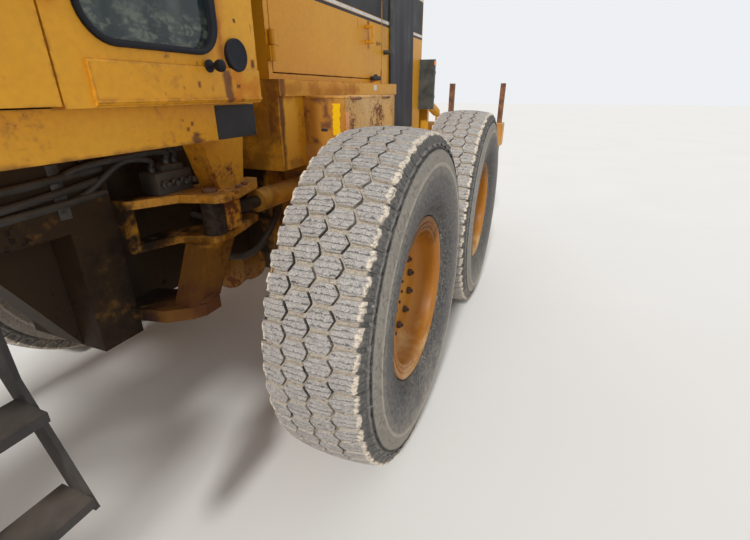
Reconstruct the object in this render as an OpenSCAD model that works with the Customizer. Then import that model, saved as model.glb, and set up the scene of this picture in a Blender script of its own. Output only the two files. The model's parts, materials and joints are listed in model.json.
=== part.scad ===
// Articulated motor grader with a rear ripper.
// +X points forward, +Y to the machine's left, +Z up, and the wheels stand on z = 0.
// Places along X are counted from the middle axle, and the whole model is then centred.

/* [Wheels] */
// Outer radius of a tyre
tyre_r = 678; // [640:1:700]
// Widest section of a tyre
tyre_w = 385; // [350:1:400]
// Width of the tread band
tread_w = 325; // [290:1:340]
// Radius of the rim flange
flange_r = 343; // [330:1:355]
// Distance between the two rim flanges' outer faces
rim_w = 295; // [280:1:310]
// Wall of the rim barrel
rim_wall = 18; // [12:1:22]
// Distance from the middle axle to the rear axle
tandem_pitch = 1522; // [1450:1:1600]
// Distance from the middle of the tandem to the front axle
wheelbase = 5918; // [5800:1:6100]
// Sideways place of the rear wheels' middle planes
rear_wheel_y = 1030; // [1020:1:1060]
// Sideways place of the front wheels' middle planes
front_wheel_y = 1020; // [1010:1:1050]
// Outward offset of the wheel disc from the middle plane
disc_offset = 40; // [30:1:60]
// Thickness of the wheel disc
disc_t = 16; // [12:1:24]
// Radius of the circle of wheel nuts
nut_circle_r = 175; // [160:1:190]

/* [Rear frame] */
// Half of the distance between the outer faces of the rear rails
rail_y = 290; // [270:1:300]
// Width of one rear rail
rail_w = 90; // [70:1:100]
// Underside of the rear rails
rail_bottom = 860; // [855:1:880]
// Top of the rear rails
rail_top = 1140; // [1120:1:1160]
// Rear end of the rails
rail_rear = -2450; // [-2600:1:-2440]
// Half width of the nose that carries the hitch pin
nose_y = 120; // [100:1:130]
// Lower face of the hitch nose
nose_bottom = 660; // [640:1:700]
// Upper face of the hitch nose
nose_top = 1240; // [1200:1:1260]

/* [Tandem drive] */
// Inner face of a tandem case
case_in = 600; // [580:1:620]
// Outer face of a tandem case
case_out = 800; // [760:1:810]
// Radius of a tandem case's round ends
case_r = 250; // [220:1:270]
// Radius of the axle tube between the cases
axle_tube_r = 150; // [120:1:155]

/* [Hood] */
// Half width of the hood
hood_y = 460; // [440:1:470]
// Front face of the hood
hood_front = -90; // [-110:1:-80]
// Rear face of the hood
hood_rear = -2310; // [-2350:1:-2290]
// Lower edge of the hood, where it stands on the tanks
hood_bottom = 1520; // [1500:1:1540]
// Top of the hood
hood_top = 2400; // [2300:1:2450]
// Thickness of the hood's walls and doors
hood_wall = 25; // [15:1:30]
// Rear edge of the engine door's opening
door_rear = -1380; // [-1400:1:-1300]
// Gap around the engine doors
door_gap = 5; // [4:1:8]
// Front edge of the rubber curtain
curtain_front = -1510; // [-1530:1:-1495]
// Rear edge of the rubber curtain
curtain_rear = -2030; // [-2040:1:-1950]
// Lower edge of the rubber curtain
curtain_bottom = 1200; // [1180:1:1400]
// Thickness of the rubber curtain
curtain_t = 10; // [8:1:14]

/* [Tanks and boxes] */
// Outer face of the side tanks
tank_y = 520; // [500:1:540]
// Underside of the side tanks
tank_bottom = 1150; // [1145:1:1200]
// Front face of the side tanks
tank_front = -50; // [-80:1:-40]
// Rear face of the side tanks
tank_rear = -1480; // [-1490:1:-1400]
// Lower edge of the ledge along the top of the tanks
ledge_bottom = 1455; // [1440:1:1470]
// Front face of the step boxes beside the tanks
box_front = -250; // [-280:1:-200]
// Rear face of the step boxes
box_rear = -860; // [-900:1:-800]
// Outer face of the step boxes
box_y = 730; // [700:1:760]
// Underside of the step boxes
box_bottom = 1010; // [990:1:1050]
// Top of the step boxes
box_top = 1452; // [1400:1:1454]

/* [Hitch] */
// Place of the hitch pin along the machine
hitch_x = 400; // [390:1:420]
// Radius of the hitch pin
hitch_pin_r = 45; // [35:1:50]
// Upper face of the lower ear plates
ear_low = 960; // [950:1:965]
// Lower face of the upper ear plates
ear_high = 1095; // [1090:1:1100]
// Thickness of an ear plate
ear_t = 30; // [20:1:35]
// Sideways place of the articulation cylinders
artic_y = 420; // [410:1:425]
// Front pin of the articulation cylinders
artic_front = 300; // [290:1:310]
// Rear pin of the articulation cylinders
artic_rear = -750; // [-760:1:-740]
// Front end of the articulation cylinders' barrels
artic_end = 35; // [0:1:40]

/* [Front frame] */
// Half width of the frame under the cab
neck_y = 200; // [180:1:210]
// Half width of the arched beam
beam_y = 150; // [130:1:160]
// Front face of the frame column ahead of the hitch
column_rear = 540; // [535:1:550]
// Underside of the frame below the cab
neck_bottom = 1050; // [1040:1:1100]
// Thickness of the front mounting plate
plate_t = 30; // [20:1:40]
// Hole spacing of the front plate across the machine
plate_dy = 480; // [400:1:520]
// Hole spacing of the front plate upward
plate_dz = 260; // [200:1:280]
// Radius of the front plate's holes
plate_hole_r = 13; // [9:1:16]

/* [Cab] */
// Rear face of the cab
cab_rear = 240; // [230:1:260]
// Front face of the cab
cab_front = 1850; // [1800:1:1900]
// Half width of the cab
cab_y = 650; // [640:1:660]
// Underside of the cab walls
cab_bottom = 1440; // [1430:1:1450]
// Top of the cab walls
cab_top = 3050; // [2950:1:3100]
// Thickness of the cab's walls and doors
cab_wall = 45; // [40:1:50]
// Thickness of the roof
roof_t = 110; // [80:1:130]
// Roof overhang
roof_over = 40; // [20:1:60]
// Rear edge of the door opening
cab_door_rear = 900; // [880:1:920]
// Front edge of the door opening
cab_door_front = 1700; // [1680:1:1720]
// Rear edge of the rear side window
side_window_rear = 420; // [400:1:440]
// Lower edge of the windows
window_bottom = 1570; // [1560:1:1600]
// Height of the wall above the windows
window_head = 130; // [110:1:200]
// Height at which the front wall starts to lean back
slope_z = 2120; // [2100:1:2140]
// How far the front wall leans back at its top
slope_x = 130; // [100:1:150]
// Corner radius of the windows
window_r = 80; // [40:1:100]
// Thickness of the glass
glass_t = 6; // [5:1:8]
// Half width of the cab's platform
platform_y = 600; // [580:1:610]
// Thickness of the cab's platform
platform_t = 110; // [90:1:120]

/* [Drawbar and circle] */
// Distance from the front axle back to the drawbar's pivot
pivot_back = 437; // [420:1:460]
// Height of the drawbar's front pivot
pivot_z = 900; // [890:1:910]
// Centre of the circle along the machine
circle_x = 2900; // [2880:1:2920]
// Outer radius of the circle
circle_r = 720; // [700:1:730]
// Radial width of the circle's ring
circle_w = 110; // [90:1:120]
// Underside of the circle's ring
circle_bottom = 765; // [755:1:770]
// Top of the circle's ring
circle_top = 865; // [860:1:870]
// Top of the drawbar's plate
drawbar_top = 950; // [940:1:960]
// Half width of the drawbar's rear plate
drawbar_y = 480; // [450:1:490]
// Sideways place of the blade arms
arm_y = 450; // [430:1:460]
// Thickness of the blade arms
arm_t = 60; // [50:1:70]

/* [Blade] */
// Length of the moldboard
blade_len = 3660; // [3400:1:3700]
// Height of the blade's lower edge above the ground
blade_low = 40; // [20:1:60]
// Height of the moldboard's upper edge
blade_high = 650; // [630:1:660]
// Radius of the moldboard's curve
blade_r = 423; // [415:1:430]
// Thickness of the moldboard
blade_t = 22; // [18:1:25]
// Foremost point of the moldboard's hollow along the machine
blade_x = 2700; // [2695:1:2710]

/* [Lift cylinders] */
// Height of the lift cylinders' upper pins
lift_z = 1850; // [1840:1:1860]
// Place of the lift cylinders' upper pins along the machine
lift_x = 2850; // [2840:1:2860]
// Sideways place of the lift cylinders
lift_y = 560; // [550:1:570]
// Radius of a lift cylinder's barrel
lift_r = 55; // [45:1:60]
// Radius of a lift cylinder's rod
lift_rod_r = 28; // [24:1:30]

/* [Front axle] */
// Sideways place of the lean pins
lean_y = 630; // [625:1:635]
// Height of the lean pins
lean_z = 600; // [590:1:610]
// Sideways place of the kingpins
kingpin_y = 770; // [765:1:775]
// Radius of the kingpins
kingpin_r = 25; // [20:1:28]
// Half width of the axle beam along the machine
axle_half = 50; // [40:1:55]
// Height of the lean bar's pins
lean_bar_z = 900; // [890:1:910]

/* [Ripper] */
// Place of the ripper's lower pivots along the machine
ripper_x = -2500; // [-2520:1:-2495]
// Height of the ripper's lower pivots
ripper_z = 950; // [940:1:960]
// Half length of the ripper's beam
ripper_half = 1110; // [1090:1:1150]
// Underside of the ripper's beam
ripper_low = 960; // [955:1:970]
// Top of the ripper's beam
ripper_high = 1170; // [1150:1:1180]
// Place of the shanks along the machine
shank_x = -3300; // [-3310:1:-3290]
// Top of the shanks
shank_top = 1550; // [1500:1:1600]
// Number of shanks
shanks = 5; // [3:2:7]

/* [Hidden] */
$fn = 48;
fit = 0.3;
run_gap = 5;
axle_z = 700;
plate_end = 50;
nose_cross = [-330, -250];
ripper_arm_y = [rail_y - 20, rail_y + 40];
tow_x = rail_rear - 90;
fork_low = [600, nose_bottom - 5];
leg_y = [330, 430];
wing_z = [nose_bottom + 5, nose_bottom + 55];
front_x = wheelbase - tandem_pitch / 2;
bogie_x = -tandem_pitch / 2;
pivot_x = front_x - pivot_back;
window_top = cab_top - window_head;
shank_d = 80;
holder_wall = 20;
nose_end = front_x + tyre_r;
tail_end = shank_x - shank_d / 2 - holder_wall;
mid_x = (nose_end + tail_end) / 2;
hub_r = 110;
nuts = 12;
pin_z_artic = (ear_low + ear_high) / 2;
platform_bottom = cab_bottom - platform_t;
tank_in = rail_y;
shift_x = 2600;
hinge_r = 14;
hinge_pin_r = 6;
engine_hinge = [hood_front - 25, hood_y + 15];
engine_hinge_z = [hood_bottom + 130, hood_top - 230];
cab_hinge = [cab_door_rear - 5, cab_y + 16];
cab_hinge_z = [window_bottom + 130, window_top - 320];
disc_y = disc_offset + disc_t;

// A block between two values along each axis
module slab(x, y, z) {
  translate([x[0], y[0], z[0]]) cube([x[1] - x[0], y[1] - y[0], z[1] - z[0]]);
}

// A cylinder along X, from x[0] to x[1]
module round_x(x, y, z, r) {
  translate([x[0], y, z]) rotate([0, 90, 0]) cylinder(h = x[1] - x[0], r = r);
}

// A cylinder along Y, from y[0] to y[1]
module round_y(x, y, z, r) {
  translate([x, y[1], z]) rotate([90, 0, 0]) cylinder(h = y[1] - y[0], r = r);
}

// A cylinder along Z, from z[0] to z[1]
module round_z(x, y, z, r) {
  translate([x, y, z[0]]) cylinder(h = z[1] - z[0], r = r);
}

// An outline in X and Z, given thickness from y[0] to y[1]
module side_plate(points, y) {
  translate([0, y[1], 0]) rotate([90, 0, 0]) linear_extrude(y[1] - y[0]) polygon(points);
}

// An outline in X and Y, given thickness from z[0] to z[1]
module flat_plate(points, z) {
  translate([0, 0, z[0]]) linear_extrude(z[1] - z[0]) polygon(points);
}

// An outline in Y and Z, given thickness from x[0] to x[1]
module cross_plate(points, x) {
  translate([x[0], 0, 0]) rotate([90, 0, 90]) linear_extrude(x[1] - x[0]) polygon(points);
}

// Points of a rectangle from a to b with round corners
function round_points(a, b, r) = [
  for (c = [[b[0] - r, b[1] - r, 0], [a[0] + r, b[1] - r, 90], [a[0] + r, a[1] + r, 180],
            [b[0] - r, a[1] + r, 270]], t = [0 : 15 : 90])
    [c[0] + r * cos(c[2] + t), c[1] + r * sin(c[2] + t)]
];

// Points of an upright outline of half width y with two round upper corners
function arch_points(y, low, top, r) = concat(
  [[-y, low], [y, low]],
  [for (t = [0 : 15 : 90]) [y - r + r * cos(t), top - r + r * sin(t)]],
  [for (t = [90 : 15 : 180]) [-y + r + r * cos(t), top - r + r * sin(t)]]
);

// A rectangle with round corners
module round_rect(a, b, r) {
  polygon(round_points(a, b, r));
}

// A round-cornered block through a side wall: outline in X and Z
module side_window(a, b, r, y) {
  translate([0, y[1], 0]) rotate([90, 0, 0]) linear_extrude(y[1] - y[0]) round_rect(a, b, r);
}

// A round-cornered block through a front or rear wall: outline in Y and Z
module end_window(a, b, r, x) {
  translate([x[0], 0, 0]) rotate([90, 0, 90]) linear_extrude(x[1] - x[0]) round_rect(a, b, r);
}

module both_sides() {
  children();
  mirror([0, 1, 0]) children();
}

module centred() {
  translate([-mid_x, 0, 0]) children();
}

// Rear frame

module rear_chassis() {
  rails = [rail_rear + plate_end, nose_cross[0]];
  color("goldenrod") centred() both_sides() {
    difference() {
      union() {
        slab(rails, [rail_y - rail_w, rail_y], [rail_bottom, rail_top]);
        // Saddle over the axle tube
        slab([bogie_x - 200, bogie_x + 200], [rail_y - rail_w, rail_y], [nose_bottom + 40, rail_bottom]);
        // Outriggers under the side tank
        for (x = [tank_rear + 80, tank_front - 350]) {
          slab([x, x + 80], [rail_y, tank_y - 20], [tank_bottom - 50, tank_bottom]);
        }
        // Bracket of the articulation cylinder
        for (z = [[pin_z_artic - 85, pin_z_artic - 60], [pin_z_artic + 60, pin_z_artic + 85]]) {
          slab([artic_rear - 60, artic_rear + 60], [rail_y, artic_y + 60], z);
        }
      }
      round_y(bogie_x, [rail_y - rail_w - 1, rail_y + 1], axle_z, axle_tube_r + fit);
    }
    round_z(artic_rear, artic_y, [pin_z_artic - 95, pin_z_artic + 95], 20);
  }
}

// Cross member at the front of the rails, and the nose that holds the hitch pin
module hitch_nose() {
  color("goldenrod") centred() difference() {
    union() {
      slab(nose_cross, [-rail_y, rail_y], [nose_bottom, rail_top]);
      slab([nose_cross[1], hitch_x], [-nose_y, nose_y], [nose_bottom, nose_top]);
      round_z(hitch_x, 0, [nose_bottom, nose_top], nose_y);
    }
    round_z(hitch_x, 0, [nose_bottom - 1, nose_top + 1], hitch_pin_r + fit);
  }
}

// Plate across the rails' rear ends, with the ripper's ears and the tow hitch
module rear_plate() {
  ear_rear = ripper_x - 60;
  color("goldenrod") centred() {
    slab([rail_rear, rail_rear + plate_end], [-400, 400], [rail_bottom - 40, rail_top]);
    both_sides() {
      // Lower ears of the ripper and their pin
      for (y = [[ripper_arm_y[0] - 40, ripper_arm_y[0] - run_gap], [ripper_arm_y[1] + 5, ripper_arm_y[1] + 40]]) {
        slab([ear_rear, rail_rear], y, [ripper_z - 70, ripper_z + 70]);
      }
      round_y(ripper_x, [ripper_arm_y[0] - 50, ripper_arm_y[1] + 50], ripper_z, 25);
      // Post and ears of the ripper cylinder
      slab([rail_rear, rail_rear + plate_end], [400, 510], [rail_bottom - 40, 1450]);
      for (y = [[410, 429], [481, 500]]) {
        slab([ripper_x - 50, rail_rear], y, [1365, 1450]);
      }
      round_y(ripper_x, [400, 510], 1400, 18);
    }
    // Tow hitch: two ears with a free hole
    difference() {
      for (z = [[840, 870], [950, 980]]) {
        slab([tow_x, rail_rear], [-60, 60], z);
        round_z(tow_x, 0, z, 60);
      }
      round_z(tow_x, 0, [830, 990], 25);
    }
  }
}

module powertrain() {
  color("dimgray") centred() {
    // Engine, one closed block
    slab([-1900, -420], [-280, 280], [rail_top, 1900]);
    // Radiator on its foot
    slab([-2180, -2080], [-380, 380], [1560, 2300]);
    slab([-2180, -2080], [-250, 250], [rail_top + hood_wall, 1560]);
    // Gearbox between the rails
    slab([bogie_x + axle_tube_r + 11, -330], [-rail_y + rail_w, rail_y - rail_w], [560, rail_top - 40]);
    slab([bogie_x + axle_tube_r + 50, -380], [-150, 150], [500, 560]);
  }
}

module hood_side_cuts() {
  // Opening of the engine door
  slab([door_rear, hood_front - 30], [hood_y - 60, hood_y + 60], [hood_bottom + 25, hood_top - 140]);
  // Opening behind the rubber curtain
  slab([curtain_rear + 40, curtain_front - 40], [hood_y - 60, hood_y + 60], [hood_bottom - 1, hood_top - 150]);
}

module hood_shell() {
  color("goldenrod") centred() {
    difference() {
      translate([hood_rear, 0, 0]) rotate([90, 0, 90]) linear_extrude(hood_front - hood_rear) {
        difference() {
          polygon(arch_points(hood_y, hood_bottom, hood_top, 70));
          polygon(arch_points(hood_y - hood_wall, hood_bottom - 1, hood_top - hood_wall, 70 - hood_wall));
        }
      }
      hood_side_cuts();
      mirror([0, 1, 0]) hood_side_cuts();
      round_z(-1000, -180, [hood_top - 40, hood_top + 1], 60 + fit);
      round_z(-560, 180, [hood_top - 40, hood_top + 1], 90 + fit);
    }
    // Front wall
    slab([hood_front - hood_wall, hood_front], [-hood_y + hood_wall, hood_y - hood_wall],
         [hood_bottom, hood_top - 80]);
    // Lower rear sides and floor, on the rails
    both_sides() {
      slab([hood_rear, curtain_rear - 15], [hood_y - hood_wall, hood_y], [rail_top, hood_bottom]);
      hinge_fixed(engine_hinge, [engine_hinge[0] + 2, hood_front - 2], hood_y, engine_hinge_z);
    }
    slab([hood_rear, curtain_rear - 15], [-hood_y + hood_wall, hood_y - hood_wall],
         [rail_top, rail_top + hood_wall]);
  }
}

// Fixed half of a left door's hinges, with the pins: pin axis p, leaf along leaf_x on the face at face_y
module hinge_fixed(p, leaf_x, face_y, heights) {
  for (z = heights) {
    round_z(p[0], p[1], [z - 60, z - 3], hinge_r);
    slab(leaf_x, [face_y, p[1]], [z - 60, z - 3]);
    round_z(p[0], p[1], [z - 3, z + 55], hinge_pin_r);
  }
}

// Moving half of a left door's hinges
module hinge_moving(p, leaf_x, face_y, heights) {
  for (z = heights) {
    difference() {
      union() {
        round_z(p[0], p[1], [z, z + 55], hinge_r);
        slab(leaf_x, [face_y, p[1] - 3], [z, z + 55]);
      }
      round_z(p[0], p[1], [z - 1, z + 56], hinge_pin_r + fit);
    }
  }
}

module rear_grille() {
  color("black") centred() {
    frame = 40;
    side = hood_y - hood_wall - fit;
    top = hood_top - 80;
    difference() {
      slab([hood_rear, hood_rear + 25], [-side, side], [rail_top + hood_wall, top]);
      slab([hood_rear - 1, hood_rear + 26], [-side + frame, side - frame], [1200, top - frame]);
    }
    for (z = [1230 : 70 : top - frame - 50]) {
      slab([hood_rear + 4, hood_rear + 20], [-side + frame, side - frame], [z, z + 30]);
    }
  }
}

module side_curtains() {
  color("black") centred() both_sides() {
    slab([curtain_rear, curtain_front], [hood_y + fit, hood_y + fit + curtain_t], [curtain_bottom, hood_top - 120]);
  }
}

module side_tanks() {
  color("goldenrod") centred() both_sides() {
    slab([tank_rear, tank_front], [tank_in, tank_y], [tank_bottom, hood_bottom]);
    slab([tank_rear, tank_front], [tank_y, tank_y + 12], [ledge_bottom, hood_bottom]);
    // Filler neck
    round_z(-1200, 490, [hood_bottom, hood_bottom + 20], 20);
  }
}

module step_boxes() {
  color("peru") centred() both_sides() {
    slab([box_rear, box_front], [tank_y, box_y], [box_bottom, box_top]);
  }
}

module tandem_drive() {
  color("goldenrod") centred() {
    round_y(bogie_x, [-case_in, case_in], axle_z, axle_tube_r);
    both_sides() {
      slab([-tandem_pitch, 0], [case_in, case_out], [tyre_r - case_r, tyre_r + case_r]);
      for (x = [0, -tandem_pitch]) {
        round_y(x, [case_in, case_out], tyre_r, case_r);
      }
      round_y(bogie_x, [case_in - 60, case_in], axle_z, 220);
    }
  }
}

// Exhaust on the right, with its muffler, and the air cleaner's bowl on the left
module hood_stacks() {
  color("black") centred() {
    round_z(-1000, -180, [hood_top - 40, hood_top + 80], 60);
    round_z(-1000, -180, [hood_top + 80, hood_top + 500], 105);
    round_z(-1000, -180, [hood_top + 500, hood_top + 740], 45);
    round_z(-560, 180, [hood_top - 40, hood_top + 160], 90);
    round_z(-560, 180, [hood_top + 160, hood_top + 300], 130);
  }
}

// Rear lamps on their posts, and the grab rails beside the curtains
module rear_fittings() {
  rail_r = 14;
  rail_x = curtain_front + 90;
  lamp_y = hood_y + 72;
  color("darkslategray") centred() both_sides() {
    slab([hood_rear + 5, hood_rear + 45], [hood_y, lamp_y + 58], [1330, 1720]);
    for (z = [1430, 1620]) {
      round_x([hood_rear - 40, hood_rear + 5], lamp_y, z, 50);
    }
    round_z(rail_x, hood_y + 50, [1700, 2200], rail_r);
    for (z = [1700 + rail_r, 2200 - rail_r]) {
      round_y(rail_x, [hood_y, hood_y + 50], z, rail_r);
    }
  }
}

module engine_door(side) {
  front = hood_front - 30 - door_gap;
  color("goldenrod") centred() mirror([0, side < 0 ? 1 : 0, 0]) {
    slab([door_rear + door_gap, front], [hood_y - hood_wall, hood_y],
         [hood_bottom + 25 + door_gap, hood_top - 140 - door_gap]);
    // Pull handle
    for (z = [1740, 1820]) {
      slab([-1125, -1100], [hood_y, hood_y + 40], [z, z + 16]);
    }
    slab([-1125, -1100], [hood_y + 40, hood_y + 54], [1740, 1836]);
    hinge_moving(engine_hinge, [front - 40, engine_hinge[0]], hood_y, engine_hinge_z);
  }
}

module engine_door_left() { engine_door(1); }
module engine_door_right() { engine_door(-1); }

// Ripper

module ripper_beam() {
  color("orange") centred() {
    difference() {
      union() {
        slab([shank_x + 50, shank_x + 230], [-ripper_half, ripper_half], [ripper_low, ripper_high]);
        for (i = [0 : shanks - 1]) {
          y = shank_place(i);
          slab([tail_end, shank_x + 50], [y - 45, y + 45], [ripper_low, ripper_high]);
        }
        both_sides() {
          slab([shank_x + 230, ripper_x], ripper_arm_y, [ripper_z - 45, ripper_z + 45]);
          round_y(ripper_x, ripper_arm_y, ripper_z, rail_rear - ripper_x - run_gap);
          // Ears for the cylinders' rods
          for (y = [[405, 429], [481, 505]]) {
            slab([shank_x + 90, shank_x + 200], y, [ripper_high, ripper_high + 90]);
          }
        }
      }
      both_sides() round_y(ripper_x, [ripper_arm_y[0] - 1, ripper_arm_y[1] + 1], ripper_z, 25 + fit);
      for (i = [0 : shanks - 1]) {
        y = shank_place(i);
        slab([shank_x - shank_d / 2 - fit, shank_x + shank_d / 2 + fit], [y - 22 - fit, y + 22 + fit],
             [ripper_low - 1, ripper_high + 1]);
      }
    }
  }
}

function shank_place(i) = (i - (shanks - 1) / 2) * 2 * (ripper_half - 60) / (shanks - 1);

module ripper_shanks() {
  color("sienna") centred() {
    b = shank_x - shank_d / 2;
    f = shank_x + shank_d / 2;
    for (i = [0 : shanks - 1]) {
      y = shank_place(i);
      difference() {
        side_plate([[b, 560], [b + 60, 400], [f + 130, 330], [f + 140, 350], [f, 560], [f, shank_top],
                    [b, shank_top]], [y - 22, y + 22]);
        round_y(shank_x, [y - 23, y + 23], shank_top - 60, 18);
      }
    }
  }
}

ram_low = [shank_x + 145, ripper_high + 45];
ram_high = [ripper_x, 1400];
ram_len = norm(ram_high - ram_low);
ram_tilt = atan2(ram_high[1] - ram_low[1], ram_high[0] - ram_low[0]);

// Turns its children so that their +X axis runs from the ripper rod's eye to the barrel's eye
module on_ram() {
  translate([ram_low[0], 0, ram_low[1]]) rotate([0, -ram_tilt, 0]) children();
}

module ripper_barrels() {
  color("goldenrod") centred() both_sides() on_ram() {
    difference() {
      union() {
        round_x([ram_len - 430, ram_len - 78], 455, 0, 42);
        round_x([ram_len - 79, ram_len], 455, 0, 22);
        round_y(ram_len, [430, 480], 0, 36);
      }
      round_x([ram_len - 431, ram_len - 95], 455, 0, 20 + fit);
      round_y(ram_len, [429, 481], 0, 18 + fit);
    }
  }
}

module ripper_rods() {
  color("silver") centred() both_sides() on_ram() {
    round_x([10, ram_len - 165], 455, 0, 20);
    round_y(0, [430, 480], 0, 32);
  }
}

// Wheels

// Turns its children, drawn around Z with +Z outward, onto a wheel at the left
module as_wheel(x, y) {
  translate([x, y, tyre_r]) rotate([-90, 0, 0]) children();
}

module tyre_solid() {
  bead = rim_w / 2 - 18;
  seat = flange_r - 40;
  w = tyre_w / 2;
  rotate_extrude($fn = 72) polygon([
    [seat + fit, -bead + fit], [seat + fit, bead - fit], [flange_r + 2, bead - fit],
    [flange_r + 12, w * 0.80], [flange_r + 60, w * 0.93], [(flange_r + tyre_r) / 2, w],
    [tyre_r - 85, w * 0.95], [tyre_r - 20, tread_w / 2], [tyre_r, tread_w / 2 - 22],
    [tyre_r, -tread_w / 2 + 22], [tyre_r - 20, -tread_w / 2], [tyre_r - 85, -w * 0.95],
    [(flange_r + tyre_r) / 2, -w], [flange_r + 60, -w * 0.93], [flange_r + 12, -w * 0.80],
    [flange_r + 2, -bead + fit]
  ]);
}

// A rim drawn around Z with +Z outward; hub_in is the inner end of the hub
module rim_solid(hub_in) {
  half = rim_w / 2;
  seat = flange_r - 40;
  inner = seat - rim_wall;
  difference() {
    union() {
      rotate_extrude() polygon([
        [inner, -half + 4], [flange_r - 6, -half], [flange_r, -half + 4], [flange_r, -half + 16],
        [seat, -half + 18], [seat, half - 18], [flange_r, half - 16], [flange_r, half - 4],
        [flange_r - 6, half], [inner, half - 4]
      ]);
      translate([0, 0, disc_offset]) cylinder(h = disc_t, r = inner + 1);
      translate([0, 0, hub_in]) cylinder(h = disc_y + 45 - hub_in, r = hub_r);
      for (i = [0 : nuts - 1]) {
        rotate([0, 0, i * 360 / nuts]) translate([nut_circle_r, 0, disc_y]) cylinder(h = 26, r = 17, $fn = 6);
      }
    }
    translate([0, 0, disc_y + 30]) cylinder(h = 20, r = 70);
  }
}

module rear_rim(x, side) {
  color("goldenrod") centred() mirror([0, side < 0 ? 1 : 0, 0]) as_wheel(x, rear_wheel_y)
    rim_solid(case_out + fit * 2 - rear_wheel_y);
}

module rear_tyre(x, side) {
  color("dimgray") centred() mirror([0, side < 0 ? 1 : 0, 0]) as_wheel(x, rear_wheel_y) tyre_solid();
}

module rim_middle_left() { rear_rim(0, 1); }
module rim_middle_right() { rear_rim(0, -1); }
module rim_rear_left() { rear_rim(-tandem_pitch, 1); }
module rim_rear_right() { rear_rim(-tandem_pitch, -1); }
module tyre_middle_left() { rear_tyre(0, 1); }
module tyre_middle_right() { rear_tyre(0, -1); }
module tyre_rear_left() { rear_tyre(-tandem_pitch, 1); }
module tyre_rear_right() { rear_tyre(-tandem_pitch, -1); }

// Front wheels and axle

spindle_end = 925;
knuckle_r = 40;
yoke_arm = 25;
yoke_half = axle_half + run_gap + yoke_arm;

module front_rim(side) {
  color("goldenrod") centred() mirror([0, side < 0 ? 1 : 0, 0]) as_wheel(front_x, front_wheel_y)
    rim_solid(spindle_end + fit * 2 - front_wheel_y);
}

module front_tyre(side) {
  color("dimgray") centred() mirror([0, side < 0 ? 1 : 0, 0]) as_wheel(front_x, front_wheel_y) tyre_solid();
}

module rim_front_left() { front_rim(1); }
module rim_front_right() { front_rim(-1); }
module tyre_front_left() { front_tyre(1); }
module tyre_front_right() { front_tyre(-1); }

module front_axle() {
  beam = [front_x - axle_half, front_x + axle_half];
  color("goldenrod") centred() {
    difference() {
      union() {
        slab(beam, [-lean_y + 40, lean_y - 40], [lean_z - 70, lean_z + 70]);
        slab(beam, [-150, 150], [lean_z + 70, 800]);
        both_sides() round_x(beam, lean_y, lean_z, 70);
      }
      both_sides() round_x([beam[0] - 1, beam[1] + 1], lean_y, lean_z, 35 + fit);
    }
  }
}

// Yoke that leans with the wheel and holds the kingpin
module lean_yoke(side) {
  plate = [lean_y + 73, lean_y + 98];
  high = lean_z + 266;
  low = lean_z - 110;
  color("goldenrod") centred() mirror([0, side < 0 ? 1 : 0, 0]) {
    round_x([front_x - yoke_half - 5, front_x + yoke_half + 5], lean_y, lean_z, 35);
    for (x = [front_x - yoke_half, front_x + axle_half + run_gap]) {
      round_x([x, x + yoke_arm], lean_y, lean_z, 70);
      slab([x, x + yoke_arm], [lean_y, plate[0]], [lean_z - 70, lean_z + 70]);
    }
    slab([front_x - yoke_half, front_x + yoke_half], plate, [low, high]);
    // Kingpin and its bosses
    for (z = [[low, lean_z - 30], [lean_z + 186, high]]) {
      round_z(front_x, kingpin_y, z, 45);
      slab([front_x - 45, front_x + 45], [plate[0], kingpin_y], z);
    }
    round_z(front_x, kingpin_y, [low, high], kingpin_r);
    // Arm up to the lean bar
    cross_plate([[plate[0], lean_z + 100], [plate[1], lean_z + 100], [plate[1], high],
                 [lean_y + 40, lean_bar_z + 30], [lean_y - 35, lean_bar_z + 35],
                 [lean_y - 35, lean_bar_z - 35], [plate[0], lean_z + 170]],
                [front_x + axle_half + run_gap, front_x + yoke_half]);
  }
}

module lean_yoke_left() { lean_yoke(1); }
module lean_yoke_right() { lean_yoke(-1); }

module knuckle(side) {
  low = lean_z - 30 + fit;
  high = lean_z + 186 - fit;
  color("dimgray") centred() mirror([0, side < 0 ? 1 : 0, 0]) difference() {
    union() {
      round_z(front_x, kingpin_y, [low, high], knuckle_r);
      round_y(front_x, [kingpin_y + 20, spindle_end], tyre_r, 60);
    }
    round_z(front_x, kingpin_y, [low - 1, high + 1], kingpin_r + fit);
  }
}

module knuckle_left() { knuckle(1); }
module knuckle_right() { knuckle(-1); }

module lean_bar() {
  x = [front_x + yoke_half + fit, front_x + yoke_half + 35];
  color("goldenrod") centred() {
    slab(x, [-lean_y, lean_y], [lean_bar_z - 35, lean_bar_z + 35]);
    both_sides() round_x(x, lean_y, lean_bar_z, 45);
  }
}

// Front frame

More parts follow.
